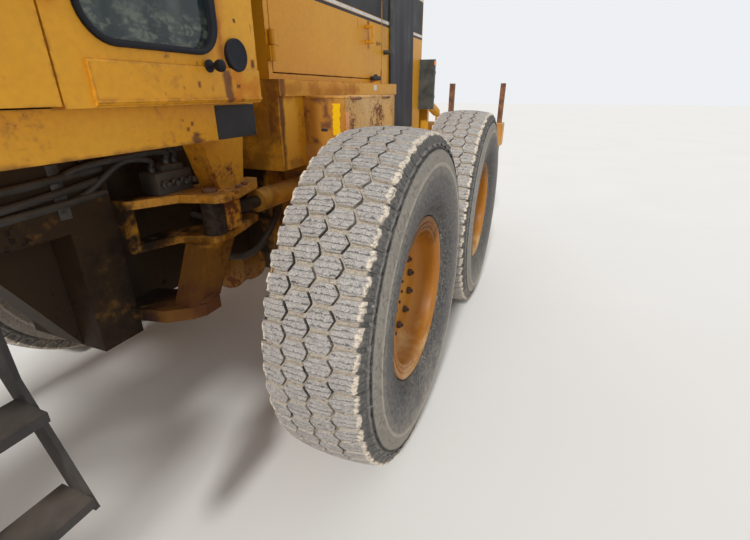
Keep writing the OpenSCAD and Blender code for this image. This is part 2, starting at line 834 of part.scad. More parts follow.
module front_frame() {
  color("goldenrod") centred() {
    // Arched beam
    side_plate([[1400, neck_bottom], [1800, neck_bottom + 30], [2250, 1500], [2900, 1560],
                [front_x - 557, 1180], [front_x - 257, 1020], [front_x + 100, 1000],
                [front_x + 100, 1370], [front_x - 207, 1400], [front_x - 657, 1520],
                [2950, 1880], [2400, 1850], [1960, 1500], [1880, platform_bottom],
                [1400, platform_bottom]], [-beam_y, beam_y]);
    slab([column_rear, 1700], [-neck_y, neck_y], [neck_bottom, platform_bottom]);
    slab([column_rear, column_rear + 160], [-neck_y, neck_y], [600, neck_bottom]);
    side_plate([[column_rear + 160, 600], [column_rear + 400, neck_bottom], [column_rear + 160, neck_bottom]],
               [-80, 80]);
    // Fork plates above and below the nose
    for (z = [fork_low, [nose_top + run_gap, platform_bottom - 30]]) {
      slab([hitch_x, column_rear], [-nose_y, nose_y], z);
      round_z(hitch_x, 0, z, nose_y);
    }
    // Wings beside the nose, under the legs
    both_sides() {
      flat_plate([[hitch_x, 150], [345, leg_y[0]], [335, leg_y[1] - 15], [355, leg_y[1] + 10],
                  [435, leg_y[1] + 10], [480, leg_y[1] - 15], [column_rear, 340],
                  [column_rear + 30, neck_y], [column_rear + 30, 150]], wing_z);
    }
    // Crossbar of the lift cylinders
    slab([lift_x - 60, lift_x + 60], [-lift_y + 60, lift_y - 60], [lift_z - 60, lift_z + 80]);
    // Bolster over the axle
    slab([front_x - 110, front_x + 80], [-120, 120], [800, 1020]);
    // Hanger of the drawbar's pivot
    both_sides() slab([pivot_x - 40, pivot_x + 70], [62, 100], [pivot_z - 70, 1160]);
    slab([pivot_x - 40, pivot_x + 70], [-100, 100], [1060, 1160]);
    // Hanger of the side shift cylinder
    slab([shift_x - 40, shift_x + 40], [beam_y, 475], [1500, 1580]);
    for (x = [[shift_x - 40, shift_x - 27], [shift_x + 27, shift_x + 40]]) {
      slab(x, [385, 465], [1410, 1500]);
    }
    round_z(hitch_x, 0, [590, platform_bottom - 20], hitch_pin_r);
    round_y(pivot_x, [-110, 110], pivot_z, 30);
    both_sides() round_y(lift_x, [lift_y - 60, lift_y + 50], lift_z, 22);
    round_x([shift_x - 50, shift_x + 50], 425, 1450, 16);
    // Front mounting plate
    difference() {
      slab([front_x + 100, front_x + 100 + plate_t], [-300, 300], [985, 1365]);
      for (y = [-1, 1], z = [-1, 1]) {
        round_x([front_x + 99, front_x + 101 + plate_t], y * plate_dy / 2, 1175 + z * plate_dz / 2, plate_hole_r);
      }
    }
  }
}

// Pairs of plates beside the nose that hold the articulation cylinders, with the cab's rear
// supports above them and the legs down to the wings
module hitch_ears() {
  high = [[0, 360], [0, 410], [60, 455], [240, 506], [325, 506], [352, 482], [364, 420], [390, 352],
          [column_rear, 270], [column_rear, neck_y], [hitch_x, neck_y]];
  low = [[0, 360], [0, 395], [50, 410], [150, 436], [230, 452], [315, 452], [338, 434], [345, 400],
         [380, 310], [column_rear, 250], [column_rear, neck_y], [hitch_x, neck_y]];
  web = [column_rear - 40, column_rear];
  top = ear_high + ear_t;
  color("goldenrod") centred() both_sides() {
    difference() {
      union() {
        flat_plate(high, [ear_high, top]);
        flat_plate(low, [ear_low - ear_t, ear_low]);
        slab(web, [neck_y, 250], [ear_low - ear_t, top]);
      }
      round_z(artic_front, artic_y, [ear_low - ear_t - 1, top + 1], 18);
    }
    side_plate([[110, top], [250, top], [320, platform_bottom], [75, platform_bottom]],
               [artic_y - 90, artic_y + 5]);
    side_plate([[205, ear_low - ear_t], [375, ear_low - ear_t], [480, wing_z[1]], [340, wing_z[1]]], leg_y);
  }
}

module cab_platform() {
  color("goldenrod") centred() {
    slab([cab_rear - 20, cab_front], [-platform_y, platform_y], [platform_bottom, cab_bottom]);
  }
}

module cab_outline(wall) {
  b = cab_rear + wall;
  f = cab_front - wall;
  over = wall > 0 ? 1 : 0;
  polygon([[b, cab_bottom - over], [f, cab_bottom - over], [f, slope_z], [f - slope_x, cab_top + over],
           [b, cab_top + over]]);
}

module cab_shell() {
  color("goldenrod") centred() {
      difference() {
        translate([0, cab_y, 0]) rotate([90, 0, 0]) linear_extrude(2 * cab_y) cab_outline(0);
        translate([0, cab_y - cab_wall, 0]) rotate([90, 0, 0]) linear_extrude(2 * (cab_y - cab_wall))
          cab_outline(cab_wall);
        both_sides() {
          slab([cab_door_rear, cab_door_front], [cab_y - cab_wall - 1, cab_y + 1],
               [cab_bottom - 1, window_top + 60]);
          side_window([side_window_rear, window_bottom], [cab_door_rear - 70, window_top], window_r,
                      [cab_y - cab_wall - 1, cab_y + 1]);
        }
        end_window([-cab_y + 130, window_bottom + 60], [cab_y - 130, window_top], window_r,
                   [cab_rear - 1, cab_rear + cab_wall + 1]);
        // Windscreen and the two lower front windows
        end_window([-cab_y + 90, slope_z + 70], [cab_y - 90, window_top + 50], 50,
                   [cab_front - 220, cab_front + 1]);
        both_sides() end_window([90, window_bottom], [cab_y - 90, slope_z - 40], 50,
                                [cab_front - cab_wall - 1, cab_front + 1]);
      }
      both_sides() hinge_fixed(cab_hinge, [cab_hinge[0] - 30, cab_hinge[0]], cab_y, cab_hinge_z);
  }
}

module cab_roof() {
  color("goldenrod") centred() translate([0, 0, cab_top]) linear_extrude(roof_t)
    round_rect([cab_rear - roof_over, -cab_y - roof_over], [cab_front - 60, cab_y + roof_over], 90);
}

module cab_glass() {
  color("lightblue") centred() {
    y = cab_y - cab_wall / 2;
    both_sides() {
      side_window([side_window_rear + fit, window_bottom + fit], [cab_door_rear - 70 - fit, window_top - fit],
                  window_r, [y, y + glass_t]);
      end_window([90 + fit, window_bottom + fit], [cab_y - 90 - fit, slope_z - 40 - fit], 50,
                 [cab_front - 25, cab_front - 25 + glass_t]);
    }
    end_window([-cab_y + 130 + fit, window_bottom + 60 + fit], [cab_y - 130 - fit, window_top - fit], window_r,
               [cab_rear + 20, cab_rear + 20 + glass_t]);
    // Windscreen, along the slope of the wall
    intersection() {
      end_window([-cab_y + 90 + fit, slope_z + 70 + fit], [cab_y - 90 - fit, window_top + 50 - fit], 50,
                 [cab_front - 220, cab_front]);
      side_plate([[cab_front - 26, slope_z], [cab_front - 20, slope_z], [cab_front - 20 - slope_x, cab_top],
                  [cab_front - 26 - slope_x, cab_top]], [-cab_y, cab_y]);
    }
  }
}

module cab_interior() {
  color("black") centred() {
    // Seat
    slab([620, 1000], [-180, 180], [cab_bottom, 1700]);
    slab([560, 1060], [-250, 250], [1700, 1830]);
    slab([480, 600], [-240, 240], [1830, 2420]);
    // Console and steering column
    slab([1480, 1640], [-130, 130], [cab_bottom, 1900]);
    translate([1500, 0, 1900]) rotate([0, -25, 0]) {
      cylinder(h = 230, r = 45);
      translate([0, 0, 230]) difference() {
        cylinder(h = 30, r = 210);
        translate([0, 0, -1]) cylinder(h = 32, r = 180);
      }
      translate([0, 0, 238]) for (a = [0 : 120 : 240]) {
        rotate([0, 0, a]) translate([0, -18, 0]) cube([190, 36, 14]);
      }
    }
    // Lever banks
    both_sides() slab([1380, 1470], [200, 400], [cab_bottom, 2150]);
  }
}

// Steps under the cab doors and mirrors on the front pillars
module cab_fittings() {
  color("black") centred() both_sides() {
    x = [1120, 1460];
    for (s = x) {
      cross_plate([[platform_y - 60, platform_bottom], [platform_y - 60, 900], [platform_y + 60, 560],
                   [platform_y + 120, 560], [platform_y, 900], [platform_y, platform_bottom]], [s, s + 12]);
    }
    // Treads, columns: y from, height
    for (t = [[platform_y + 20, 580], [platform_y - 30, 820], [platform_y - 60, 1080]]) {
      slab([x[0] + 12, x[1]], [t[0], t[0] + 110], [t[1], t[1] + 25]);
    }
    // Mirror: two arms on a pad, a tube and the glass in its case
    mirror_x = cab_front - 60;
    arm_z = [slope_z + 90, slope_z + 210];
    slab([mirror_x - 25, mirror_x + 22], [cab_y, cab_y + 10], [arm_z[0] - 30, arm_z[1] + 30]);
    for (z = arm_z) {
      round_y(mirror_x, [cab_y + 10, 860], z, 10);
    }
    round_z(mirror_x, 860, [arm_z[0] - 20, arm_z[0] + 510], 12);
    slab([mirror_x + 6, mirror_x + 26], [780, 940], [arm_z[0] + 170, arm_z[0] + 480]);
  }
}

module head_lamps() {
  lamp_x = front_x - 597;
  color("darkslategray") centred() {
    both_sides() {
      slab([lamp_x, lamp_x + 80], [beam_y, 330], [1440, 1480]);
      slab([lamp_x, lamp_x + 80], [290, 330], [1480, 1600]);
      round_x([lamp_x, lamp_x + 120], 310, 1680, 80);
      // Lamps under the roof's front edge
      slab([cab_front - 60, cab_front + 20], [400, 560], [cab_top + 10, cab_top + 100]);
      slab([cab_rear - roof_over - 70, cab_rear - roof_over], [400, 560], [cab_top + 10, cab_top + 100]);
    }
  }
}

module cab_door(side) {
  a = [cab_door_rear + run_gap, cab_bottom + run_gap];
  b = [cab_door_front - run_gap, window_top + 60 - run_gap];
  color("goldenrod") centred() mirror([0, side < 0 ? 1 : 0, 0]) {
    difference() {
      slab([a[0], b[0]], [cab_y - cab_wall, cab_y], [a[1], b[1]]);
      side_window([a[0] + 70, window_bottom], [b[0] - 70, window_top], window_r,
                  [cab_y - cab_wall - 1, cab_y + 1]);
    }
    hinge_moving(cab_hinge, [cab_hinge[0], cab_hinge[0] + 60], cab_y, cab_hinge_z);
    // Handle
    slab([b[0] - 60, b[0] - 20], [cab_y, cab_y + 30], [1640, 1780]);
  }
}

module cab_door_left() { cab_door(1); }
module cab_door_right() { cab_door(-1); }

module door_glass(side) {
  y = cab_y - cab_wall / 2;
  color("lightblue") centred() mirror([0, side < 0 ? 1 : 0, 0])
    side_window([cab_door_rear + run_gap + 70 + fit, window_bottom + fit],
                [cab_door_front - run_gap - 70 - fit, window_top - fit], window_r, [y, y + glass_t]);
}

module door_glass_left() { door_glass(1); }
module door_glass_right() { door_glass(-1); }

// Cylinders of the front frame

eye_z = drawbar_top + 60;
barrel_low = lift_z - 435;

module lift_barrels() {
  color("goldenrod") centred() both_sides() difference() {
    union() {
      round_z(lift_x, lift_y, [barrel_low, lift_z + 60], lift_r);
      round_y(lift_x, [lift_y - 50, lift_y + 45], lift_z, 42);
    }
    round_z(lift_x, lift_y, [barrel_low - 1, lift_z - 45], lift_rod_r + fit);
    round_y(lift_x, [lift_y - lift_r - 1, lift_y + lift_r + 1], lift_z, 22 + fit);
  }
}

module lift_rods() {
  color("silver") centred() both_sides() {
    round_z(lift_x, lift_y, [eye_z, barrel_low + 45], lift_rod_r);
    round_y(lift_x, [lift_y - 30, lift_y + 30], eye_z, 40);
  }
}

// The side shift cylinder runs from a pin on the left of the beam to the drawbar's right side
shift_top = [425, 1450];
shift_low = [-340, drawbar_top + 70];
shift_len = norm(shift_top - shift_low);
shift_tilt = atan2(shift_top[1] - shift_low[1], shift_top[0] - shift_low[0]);

module on_shift() {
  translate([shift_x, shift_low[0], shift_low[1]]) rotate([shift_tilt, 0, 0]) children();
}

module shift_barrel() {
  color("goldenrod") centred() on_shift() difference() {
    union() {
      round_y(0, [shift_len - 480, shift_len - 72], 0, 48);
      round_y(0, [shift_len - 73, shift_len], 0, 24);
      round_x([-26, 26], shift_len, 0, 38);
    }
    round_y(0, [shift_len - 481, shift_len - 90], 0, 24 + fit);
    round_x([-27, 27], shift_len, 0, 16 + fit);
  }
}

module shift_rod() {
  color("silver") centred() on_shift() {
    round_y(0, [0, shift_len - 430], 0, 24);
    round_x([-25, 25], 0, 0, 38);
  }
}

module artic_barrel(side) {
  color("goldenrod") centred() mirror([0, side < 0 ? 1 : 0, 0]) difference() {
    union() {
      round_x([artic_rear + 20, artic_end], artic_y, pin_z_artic, 50);
      round_z(artic_rear, artic_y, [pin_z_artic - 55, pin_z_artic + 55], 42);
    }
    round_x([artic_rear + 60, artic_end + 1], artic_y, pin_z_artic, 26 + fit);
    round_z(artic_rear, artic_y, [pin_z_artic - 56, pin_z_artic + 56], 20 + fit);
  }
}

module artic_rod(side) {
  color("silver") centred() mirror([0, side < 0 ? 1 : 0, 0]) {
    round_x([-330, artic_front], artic_y, pin_z_artic, 26);
    round_z(artic_front, artic_y, [ear_low + fit, ear_high - 5], 42);
    slab([artic_front - 110, artic_front], [artic_y - 42, artic_y + 42], [ear_low + 8, ear_high - 8]);
  }
}

module artic_barrel_left() { artic_barrel(1); }
module artic_barrel_right() { artic_barrel(-1); }
module artic_rod_left() { artic_rod(1); }
module artic_rod_right() { artic_rod(-1); }

// Drawbar, circle and blade

module drawbar() {
  rear = circle_x - 650;
  waist = circle_x + 400;
  color("goldenrod") centred() {
    difference() {
      union() {
        flat_plate([[pivot_x - 40, 55], [waist, drawbar_y], [rear, drawbar_y], [rear, -drawbar_y],
                    [waist, -drawbar_y], [pivot_x - 40, -55]], [circle_top + fit, drawbar_top]);
        round_y(pivot_x, [-55, 55], pivot_z, 68);
      }
      flat_plate([[pivot_x - 540, 90], [waist + 180, 270], [waist + 180, -270], [pivot_x - 540, -90]],
                 [circle_top - 1, drawbar_top + 1]);
      round_z(circle_x, 0, [circle_top - 1, drawbar_top + 1], 330);
      round_y(pivot_x, [-56, 56], pivot_z, 30 + fit);
    }
    // Shoes inside the ring
    for (a = [45 : 90 : 315]) {
      translate([circle_x, 0, 0]) rotate([0, 0, a])
        slab([circle_r - circle_w - 50, circle_r - circle_w - 10], [-60, 60], [circle_top - 70, circle_top + fit]);
    }
    // Drive of the circle
    round_z(circle_x - 530, 0, [drawbar_top, drawbar_top + 80], 100);
    // Ears of the lift rods and the side shift rod
    both_sides() slab([lift_x - 60, lift_x + 60], [drawbar_y - 40, lift_y - 30 - fit],
                      [drawbar_top, drawbar_top + 105]);
    slab([shift_x + 25 + fit, shift_x + 50], [-410, -270], [drawbar_top, drawbar_top + 115]);
  }
}

module circle() {
  color("goldenrod") centred() {
    translate([circle_x, 0, circle_bottom]) difference() {
      cylinder(h = circle_top - circle_bottom, r = circle_r, $fn = 96);
      translate([0, 0, -1]) cylinder(h = 200, r = circle_r - circle_w, $fn = 96);
    }
    z = circle_bottom;
    difference() {
      union() {
        both_sides() side_plate([[circle_x - 560, z], [circle_x - 560, z - 65], [blade_x - 160, z - 200],
                             [blade_x - 160, 150], [blade_x - 66, 150], [blade_x - 66, z - 165],
                             [blade_x + 60, z - 70], [circle_x + 560, z - 60], [circle_x + 560, z]],
                                [arm_y - arm_t / 2, arm_y + arm_t / 2]);
        // Barrel of the side shift cylinder
        round_y(blade_x - 112, [-700, arm_y], 340, 44);
      }
      round_y(blade_x - 112, [-680, arm_y + arm_t], 340, 20 + fit);
    }
    // Jaws around the blade's rails
    both_sides() for (z = [170 - 30, 215 + fit, 470 - 30, 520 + fit]) {
      slab([blade_x - 66, blade_x - 12], [arm_y - arm_t / 2, arm_y + arm_t / 2], [z, z + 30 - fit]);
    }
  }
}

module moldboard() {
  half = blade_len / 2;
  cx = blade_x + blade_r;
  cz = (blade_low + blade_high) / 2;
  color("goldenrod") centred() {
    intersection() {
      difference() {
        round_y(cx, [-half, half], cz, blade_r + blade_t, $fn = 96);
        round_y(cx, [-half - 1, half + 1], cz, blade_r, $fn = 96);
      }
      slab([blade_x - blade_t - 5, cx - 290], [-half, half], [blade_low + 110, blade_high]);
    }
    // Cutting edge
    side_plate([[blade_x + 20, blade_low + 125], [blade_x + 55, blade_low + 130], [blade_x + 136, blade_low],
                [blade_x + 114, blade_low]], [-half, half]);
    // Rails for the side shift
    for (z = [[170, 215], [470, 520]]) {
      slab([blade_x - 60, blade_x + 8], [-half + 300, half - 300], z);
    }
    // Rod of the side shift cylinder and its bracket
    round_y(blade_x - 112, [-150, 1250], 340, 20);
    slab([blade_x - 140, blade_x - 8], [1250, 1290], [310, 370]);
  }
}

rear_chassis();
hitch_nose();
rear_plate();
powertrain();
hood_shell();
rear_grille();
side_curtains();
side_tanks();
step_boxes();
tandem_drive();
hood_stacks();
rear_fittings();
engine_door_left();
engine_door_right();
ripper_beam();
ripper_shanks();
ripper_barrels();
ripper_rods();
rim_middle_left();
tyre_middle_left();
rim_middle_right();
tyre_middle_right();
rim_rear_left();
tyre_rear_left();
rim_rear_right();
tyre_rear_right();
front_frame();
hitch_ears();
cab_platform();
cab_shell();
cab_roof();
cab_glass();
cab_interior();
cab_fittings();
head_lamps();
front_axle();
cab_door_left();
cab_door_right();
door_glass_left();
door_glass_right();
lean_yoke_left();
lean_yoke_right();
knuckle_left();
knuckle_right();
rim_front_left();
tyre_front_left();
rim_front_right();
tyre_front_right();
lean_bar();
lift_barrels();
lift_rods();
shift_barrel();
shift_rod();
drawbar();
circle();
moldboard();
artic_barrel_left();
artic_rod_left();
artic_barrel_right();
artic_rod_right();
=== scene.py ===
import json
import math

import bpy
import numpy as np
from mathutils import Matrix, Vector


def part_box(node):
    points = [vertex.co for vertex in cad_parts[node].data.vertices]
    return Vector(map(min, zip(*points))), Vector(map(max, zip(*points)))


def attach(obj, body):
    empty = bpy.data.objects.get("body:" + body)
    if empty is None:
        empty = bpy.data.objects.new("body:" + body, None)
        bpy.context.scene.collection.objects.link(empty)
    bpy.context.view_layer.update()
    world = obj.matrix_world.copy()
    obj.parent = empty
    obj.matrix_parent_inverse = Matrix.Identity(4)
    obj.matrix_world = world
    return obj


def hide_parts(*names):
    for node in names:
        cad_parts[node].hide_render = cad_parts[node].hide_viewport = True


bl_info = {
    "name": "Motor grader",
    "version": (1, 0, 0),
    "blender": (4, 5, 0),
    "location": "3D View > Sidebar > Grader",
    "description": "Dresses the motor grader: tyres, rims, cab, hood, trim, finishes and stage",
    "category": "Object",
}

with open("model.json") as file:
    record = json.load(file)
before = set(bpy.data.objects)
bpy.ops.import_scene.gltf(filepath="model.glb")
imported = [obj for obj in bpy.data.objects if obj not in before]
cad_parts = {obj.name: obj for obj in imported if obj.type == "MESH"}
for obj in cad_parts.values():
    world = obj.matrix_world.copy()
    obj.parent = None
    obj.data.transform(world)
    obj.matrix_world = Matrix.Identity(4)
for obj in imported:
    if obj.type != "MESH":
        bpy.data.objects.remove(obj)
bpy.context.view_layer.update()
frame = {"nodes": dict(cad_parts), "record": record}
NODES = frame["nodes"]
RECORD = frame["record"]
SLOT_OF = {part["node"]: part["material_slot"] for part in RECORD["subparts"]}
SIDES = [("left", 1), ("right", -1)]
# Across, up and outwards, for faces that look ahead and back
AHEAD = [[0, 1, 0], [0, 0, 1], [1, 0, 0]]
BEHIND = [[0, -1, 0], [0, 0, 1], [-1, 0, 0]]
# Places measured in the design lie this much further ahead than in the frame
DESIGN_X = 1.2375
# How far from the middle the side faces lie that trim stands on
CAB_Y, HOOD_Y, PLATFORM_Y = 0.650, 0.460, 0.600
TYRE_RADIUS = 0.678
# CAD nodes whose finish isn't their slot's
FINISH_OF = {node: finish for finish, nodes in {
    "cab_paint": ("cab_shell",), "tank_paint": ("side_tanks",), "platform_paint": ("cab_platform",),
    "hood_paint": ("engine_door_left", "engine_door_right", "hood_shell"),
    "frame_paint": ("front_frame", "hitch_ears", "hitch_nose", "rear_chassis", "artic_barrel_left",
                    "artic_barrel_right"),
    "greasy_rod": ("artic_rod_left", "artic_rod_right")}.items() for node in nodes}
# Finishes by name, filled by the finishes step
MATERIALS = {}


# Sizes and colours


def size(name, description, default, low, high):
    """A length in metres."""
    return bpy.props.FloatProperty(name=name, description=description, default=default, min=low, max=high,
                                   unit="LENGTH", precision=4)


def share(name, description, default):
    """A plain number from 0 to 1."""
    return bpy.props.FloatProperty(name=name, description=description, default=default, min=0, max=1,
                                   subtype="FACTOR")


def colour(name, description, default):
    """A linear colour."""
    return bpy.props.FloatVectorProperty(name=name, description=description, default=default, min=0, max=1,
                                         size=3, subtype="COLOR")


class GRADER_PG_tyre(bpy.types.PropertyGroup):
    pitches: bpy.props.IntProperty(name="Pitches", description="Tread blocks round the tyre", default=58,
                                   min=20, max=90)
    groove_depth: size("Groove depth", "Depth of the worn tread's grooves", 0.013, 0.003, 0.03)
    groove_width: size("Groove width", "Width of the zigzag grooves between blocks", 0.0058, 0.003, 0.02)
    gap_width: size("Gap width", "Width of the gaps across the tread", 0.0130, 0.003, 0.03)
    crown_drop: size("Crown drop", "How far the tread falls away at its edges", 0.017, 0.0, 0.04)
    tread_width: size("Tread width", "Width of the tread", 0.325, 0.2, 0.36)
    rubber: colour("Rubber", "Worn face of the tread blocks", (0.425, 0.402, 0.375))
    dust: colour("Dust", "Dried mud in the grooves", (0.70, 0.61, 0.495))


class GRADER_PG_paint(bpy.types.PropertyGroup):
    ochre: colour("Paint", "Ochre paint of the frame, hood and cab", (0.70, 0.306, 0.010))
    faded: colour("Faded paint", "Paint where sun and dust have paled it", (0.755, 0.366, 0.026))
    orange: colour("Rim paint", "Orange paint of the rims", (0.39, 0.132, 0.004))
    rust: colour("Rust", "Rust on steel", (0.115, 0.036, 0.012))
    black: colour("Black trim", "Band, plates and rubber", (0.016, 0.016, 0.018))
    rust_amount: share("Rust amount", "How much of the paint has rusted", 0.5)


class GRADER_PG_trim(bpy.types.PropertyGroup):
    band_low: size("Band height", "Height of the white line on the hood", 1.884, 1.6, 2.2)
    band_width: size("Band width", "Width of the black band over the line", 0.25, 0.05, 0.3)
    gasket_width: size("Gasket width", "Width of the windows' rubber gaskets", 0.030, 0.015, 0.06)
    curtain_wave: size("Curtain wave", "How far the curtains' folds stand out", 0.018, 0.0, 0.04)


# Surfaces


def grid_faces(rows, columns, close_rows=False, close_columns=False):
    """Quads of a grid of points; each faces the way of step along a row cross step to the next."""
    i, j = np.meshgrid(np.arange(rows if close_rows else rows - 1),
                       np.arange(columns if close_columns else columns - 1), indexing="ij")
    k, m = (i + 1) % rows, (j + 1) % columns
    return np.stack([i * columns + j, i * columns + m, k * columns + m, k * columns + j], -1).reshape(-1, 4)


def unit(v):
    """Vectors scaled to length one."""
    v = np.asarray(v, float)
    return v / np.linalg.norm(v, axis=-1, keepdims=True)


class Shape:
    """Surfaces gathered as arrays of points and faces, which become one mesh."""

    def __init__(self):
        self.points, self.faces, self.finishes, self.values, self.count = [], [], [], [], 0

    def add(self, points, faces, finish=0, **values):
        """Adds points with their faces; values are numbers for each point, kept as attributes."""
        points = np.asarray(points, float).reshape(-1, 3)
        for f in faces:
            self.faces.append(np.asarray(f) + self.count)
            self.finishes.append(np.full(len(f), finish))
        self.points.append(points)
        self.values.append((len(points), values))
        self.count += len(points)

    def place(self, local, faces, origin, axes, finish=0, **values):
        """Adds points given in other axes from an origin; a mirrored set of axes turns the faces round."""
        axes = np.asarray(axes, float)
        if np.linalg.det(axes) < 0:
            faces = [np.asarray(f)[:, ::-1] for f in faces]
        self.add(np.asarray(origin) + np.asarray(local) @ axes, faces, finish, **values)

    def stack(self, outline, steps, origin=(0, 0, 0), axes=np.eye(3), finish=0, **values):
        """A solid of stacked outlines: each step (grow, height) moves the outline out along its normals
        and up, and flat faces close both ends."""
        outline = np.asarray(outline, float)
        along = unit(np.roll(outline, -1, 0) - np.roll(outline, 1, 0))
        out = np.stack([along[:, 1], -along[:, 0]], -1)
        n = len(outline)
        rings = [np.column_stack([outline + out * grow, np.full(n, height)]) for grow, height in steps]
        faces = [grid_faces(len(steps), n, close_columns=True), np.arange(n)[None, ::-1],
                 np.arange(n)[None] + n * (len(steps) - 1)]
        self.place(np.concatenate(rings), faces, origin, axes, finish, **values)

    def lathe(self, profile, segments=48, origin=(0, 0, 0), axes=np.eye(3), finish=0, closed=False, **values):
        """A profile of (radius, height) turned round the third axis, from the first towards the second.
        Ends at radius 0 become single points; a closed profile makes a ring."""
        profile = np.asarray(profile, float)
        t = np.arange(segments) * 2 * np.pi / segments
        poles = [] if closed else [k for k in (0, len(profile) - 1) if profile[k, 0] == 0]
        body = np.delete(profile, poles, 0)
        r, h = body[:, :1], body[:, 1:]
        local = np.stack([r * np.cos(t), r * np.sin(t), h + 0 * t], -1).reshape(-1, 3)
        faces = [grid_faces(len(body), segments, close_rows=closed, close_columns=True)]
        if not closed:
            ring = np.arange(segments)
            for k in (0, len(profile) - 1):
                base = 0 if k == 0 else (len(body) - 1) * segments
                if k in poles:
                    local = np.vstack([local, [0, 0, profile[k, 1]]])
                    tip = np.full(segments, len(local) - 1)
                    fan = np.stack([ring + base, np.roll(ring, -1) + base, tip], -1)
                    faces.append(fan[:, ::-1] if k == 0 else fan)
                else:
                    faces.append((ring[::-1] if k == 0 else ring)[None] + base)
        self.place(local, faces, origin, axes, finish, **values)

    def tube(self, path, section, up=(0, 0, 1), closed=False, finish=0, **values):
        """A section of (side, up) carried along a path; side is the given up cross the path's tangent."""
        path, section = np.asarray(path, float), np.asarray(section, float)
        if closed:
            tangent = unit(np.roll(path, -1, 0) - np.roll(path, 1, 0))
        else:
            tangent = unit(np.gradient(path, axis=0))
        side = unit(np.cross(np.broadcast_to(np.asarray(up, float), path.shape), tangent))
        rise = np.cross(tangent, side)
        points = path[:, None] + section[:, :1] * side[:, None] + section[:, 1:] * rise[:, None]
        n, k = len(path), len(section)
        faces = [grid_faces(n, k, close_rows=closed, close_columns=True)]
        if not closed:
            faces += [np.arange(k)[None, ::-1], np.arange(k)[None] + k * (n - 1)]
        self.add(points, faces, finish, **values)

    def box(self, low, high, bevel=0.003, finish=0, **values):
        """A plate with rounded long edges between two corners."""
        low, high = np.minimum(low, high), np.maximum(low, high)
        w, d, h = high - low
        b = min(bevel, w * 0.3, d * 0.3, h * 0.3)
        self.stack(rounded(w - 2 * b, d - 2 * b, b, 2), [(0, 0), (b * 0.7, b * 0.3), (b, b), (b, h - b),
                                                          (b * 0.7, h - b * 0.3), (0, h)],
                   ((low[0] + high[0]) / 2, (low[1] + high[1]) / 2, low[2]), finish=finish, **values)

    def hexagons(self, centres, radius, height, axes, finish=0, stud=0.0):
        """Bolt heads: a six-sided prism with a chamfered top, and a stud, repeated at each centre."""
        a = np.arange(6) * np.pi / 3
        hexagon = radius * np.stack([np.cos(a), np.sin(a)], -1)
        for c in centres:
            self.stack(hexagon, [(0, -0.001), (0, height * 0.8), (-radius * 0.14, height)], c, axes, finish)
            if stud:
                steps = [(0, height * 0.9), (0, height + stud * 0.8), (-radius * 0.1, height + stud)]
                self.stack(hexagon * 0.5, steps, c, axes, finish)

    def build(self, name, body, slot, finishes, sharp=40):
        """Makes the mesh and its object, at the origin, riding on a body; finishes are given by name."""
        mesh = bpy.data.meshes.new(name)
        points = np.concatenate(self.points)
        sizes = np.concatenate([np.full(f.shape[0], f.shape[1]) for f in self.faces])
        corners = np.concatenate([f.ravel() for f in self.faces])
        mesh.vertices.add(len(points))
        mesh.vertices.foreach_set("co", points.ravel())
        mesh.loops.add(len(corners))
        mesh.loops.foreach_set("vertex_index", corners.astype(np.int32))
        mesh.polygons.add(len(sizes))
        mesh.polygons.foreach_set("loop_start", np.concatenate([[0], np.cumsum(sizes)[:-1]]).astype(np.int32))
        mesh.polygons.foreach_set("material_index", np.concatenate(self.finishes).astype(np.int32))
        mesh.update(calc_edges=True)
        for key in sorted({k for _, values in self.values for k in values}):
            data = np.concatenate([np.broadcast_to(np.ravel(v.get(key, 0.0)), n) for n, v in self.values])
            mesh.attributes.new(key, "FLOAT", "POINT").data.foreach_set("value", data.astype(np.float32))
        mesh.polygons.foreach_set("use_smooth", np.ones(len(sizes), bool))
        mesh.set_sharp_from_angle(angle=math.radians(sharp))
        for finish in finishes:
            mesh.materials.append(MATERIALS[finish])
        piece = bpy.data.objects.new(name, mesh)
        bpy.context.scene.collection.objects.link(piece)
        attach(piece, body)
        return piece


def rounded(width, height, radius, steps=5):
    """Outline of a rectangle with round corners: four quarter circles, anticlockwise."""
    a = np.linspace(0, np.pi / 2, steps + 1)
    x, y = width / 2 - radius, height / 2 - radius
    return np.concatenate([
        np.stack([sx * x + radius * np.cos(a + turn), sy * y + radius * np.sin(a + turn)], -1)
        for sx, sy, turn in ((1, 1, 0), (-1, 1, np.pi / 2), (-1, -1, np.pi), (1, -1, 1.5 * np.pi))])


def circle(radius, steps=16):
    """Points of a circle, anticlockwise."""
    a = np.arange(steps) * 2 * np.pi / steps
    return radius * np.stack([np.cos(a), np.sin(a)], -1)


def wall_axes(side):
    """Axes of a side wall: along the machine, up, and outwards."""
    return np.array([[1, 0, 0], [0, 0, 1], [0, side, 0]], float)


def smooth_path(points, steps=12):
    """A curve through the points: Catmull-Rom spline, evaluated at equal steps of each span."""
    p = np.asarray(points, float)
    p = np.vstack([2 * p[0] - p[1], p, 2 * p[-1] - p[-2]])
    t = np.linspace(0, 1, steps, endpoint=False)[:, None]
    spans = [0.5 * (2 * b + (c - a) * t + (2 * a - 5 * b + 4 * c - d) * t**2 + (3 * b - a - 3 * c + d) * t**3)
             for a, b, c, d in zip(p[:-3], p[1:-2], p[2:-1], p[3:])]
    return np.vstack(spans + [p[-2:-1]])


# Finishes


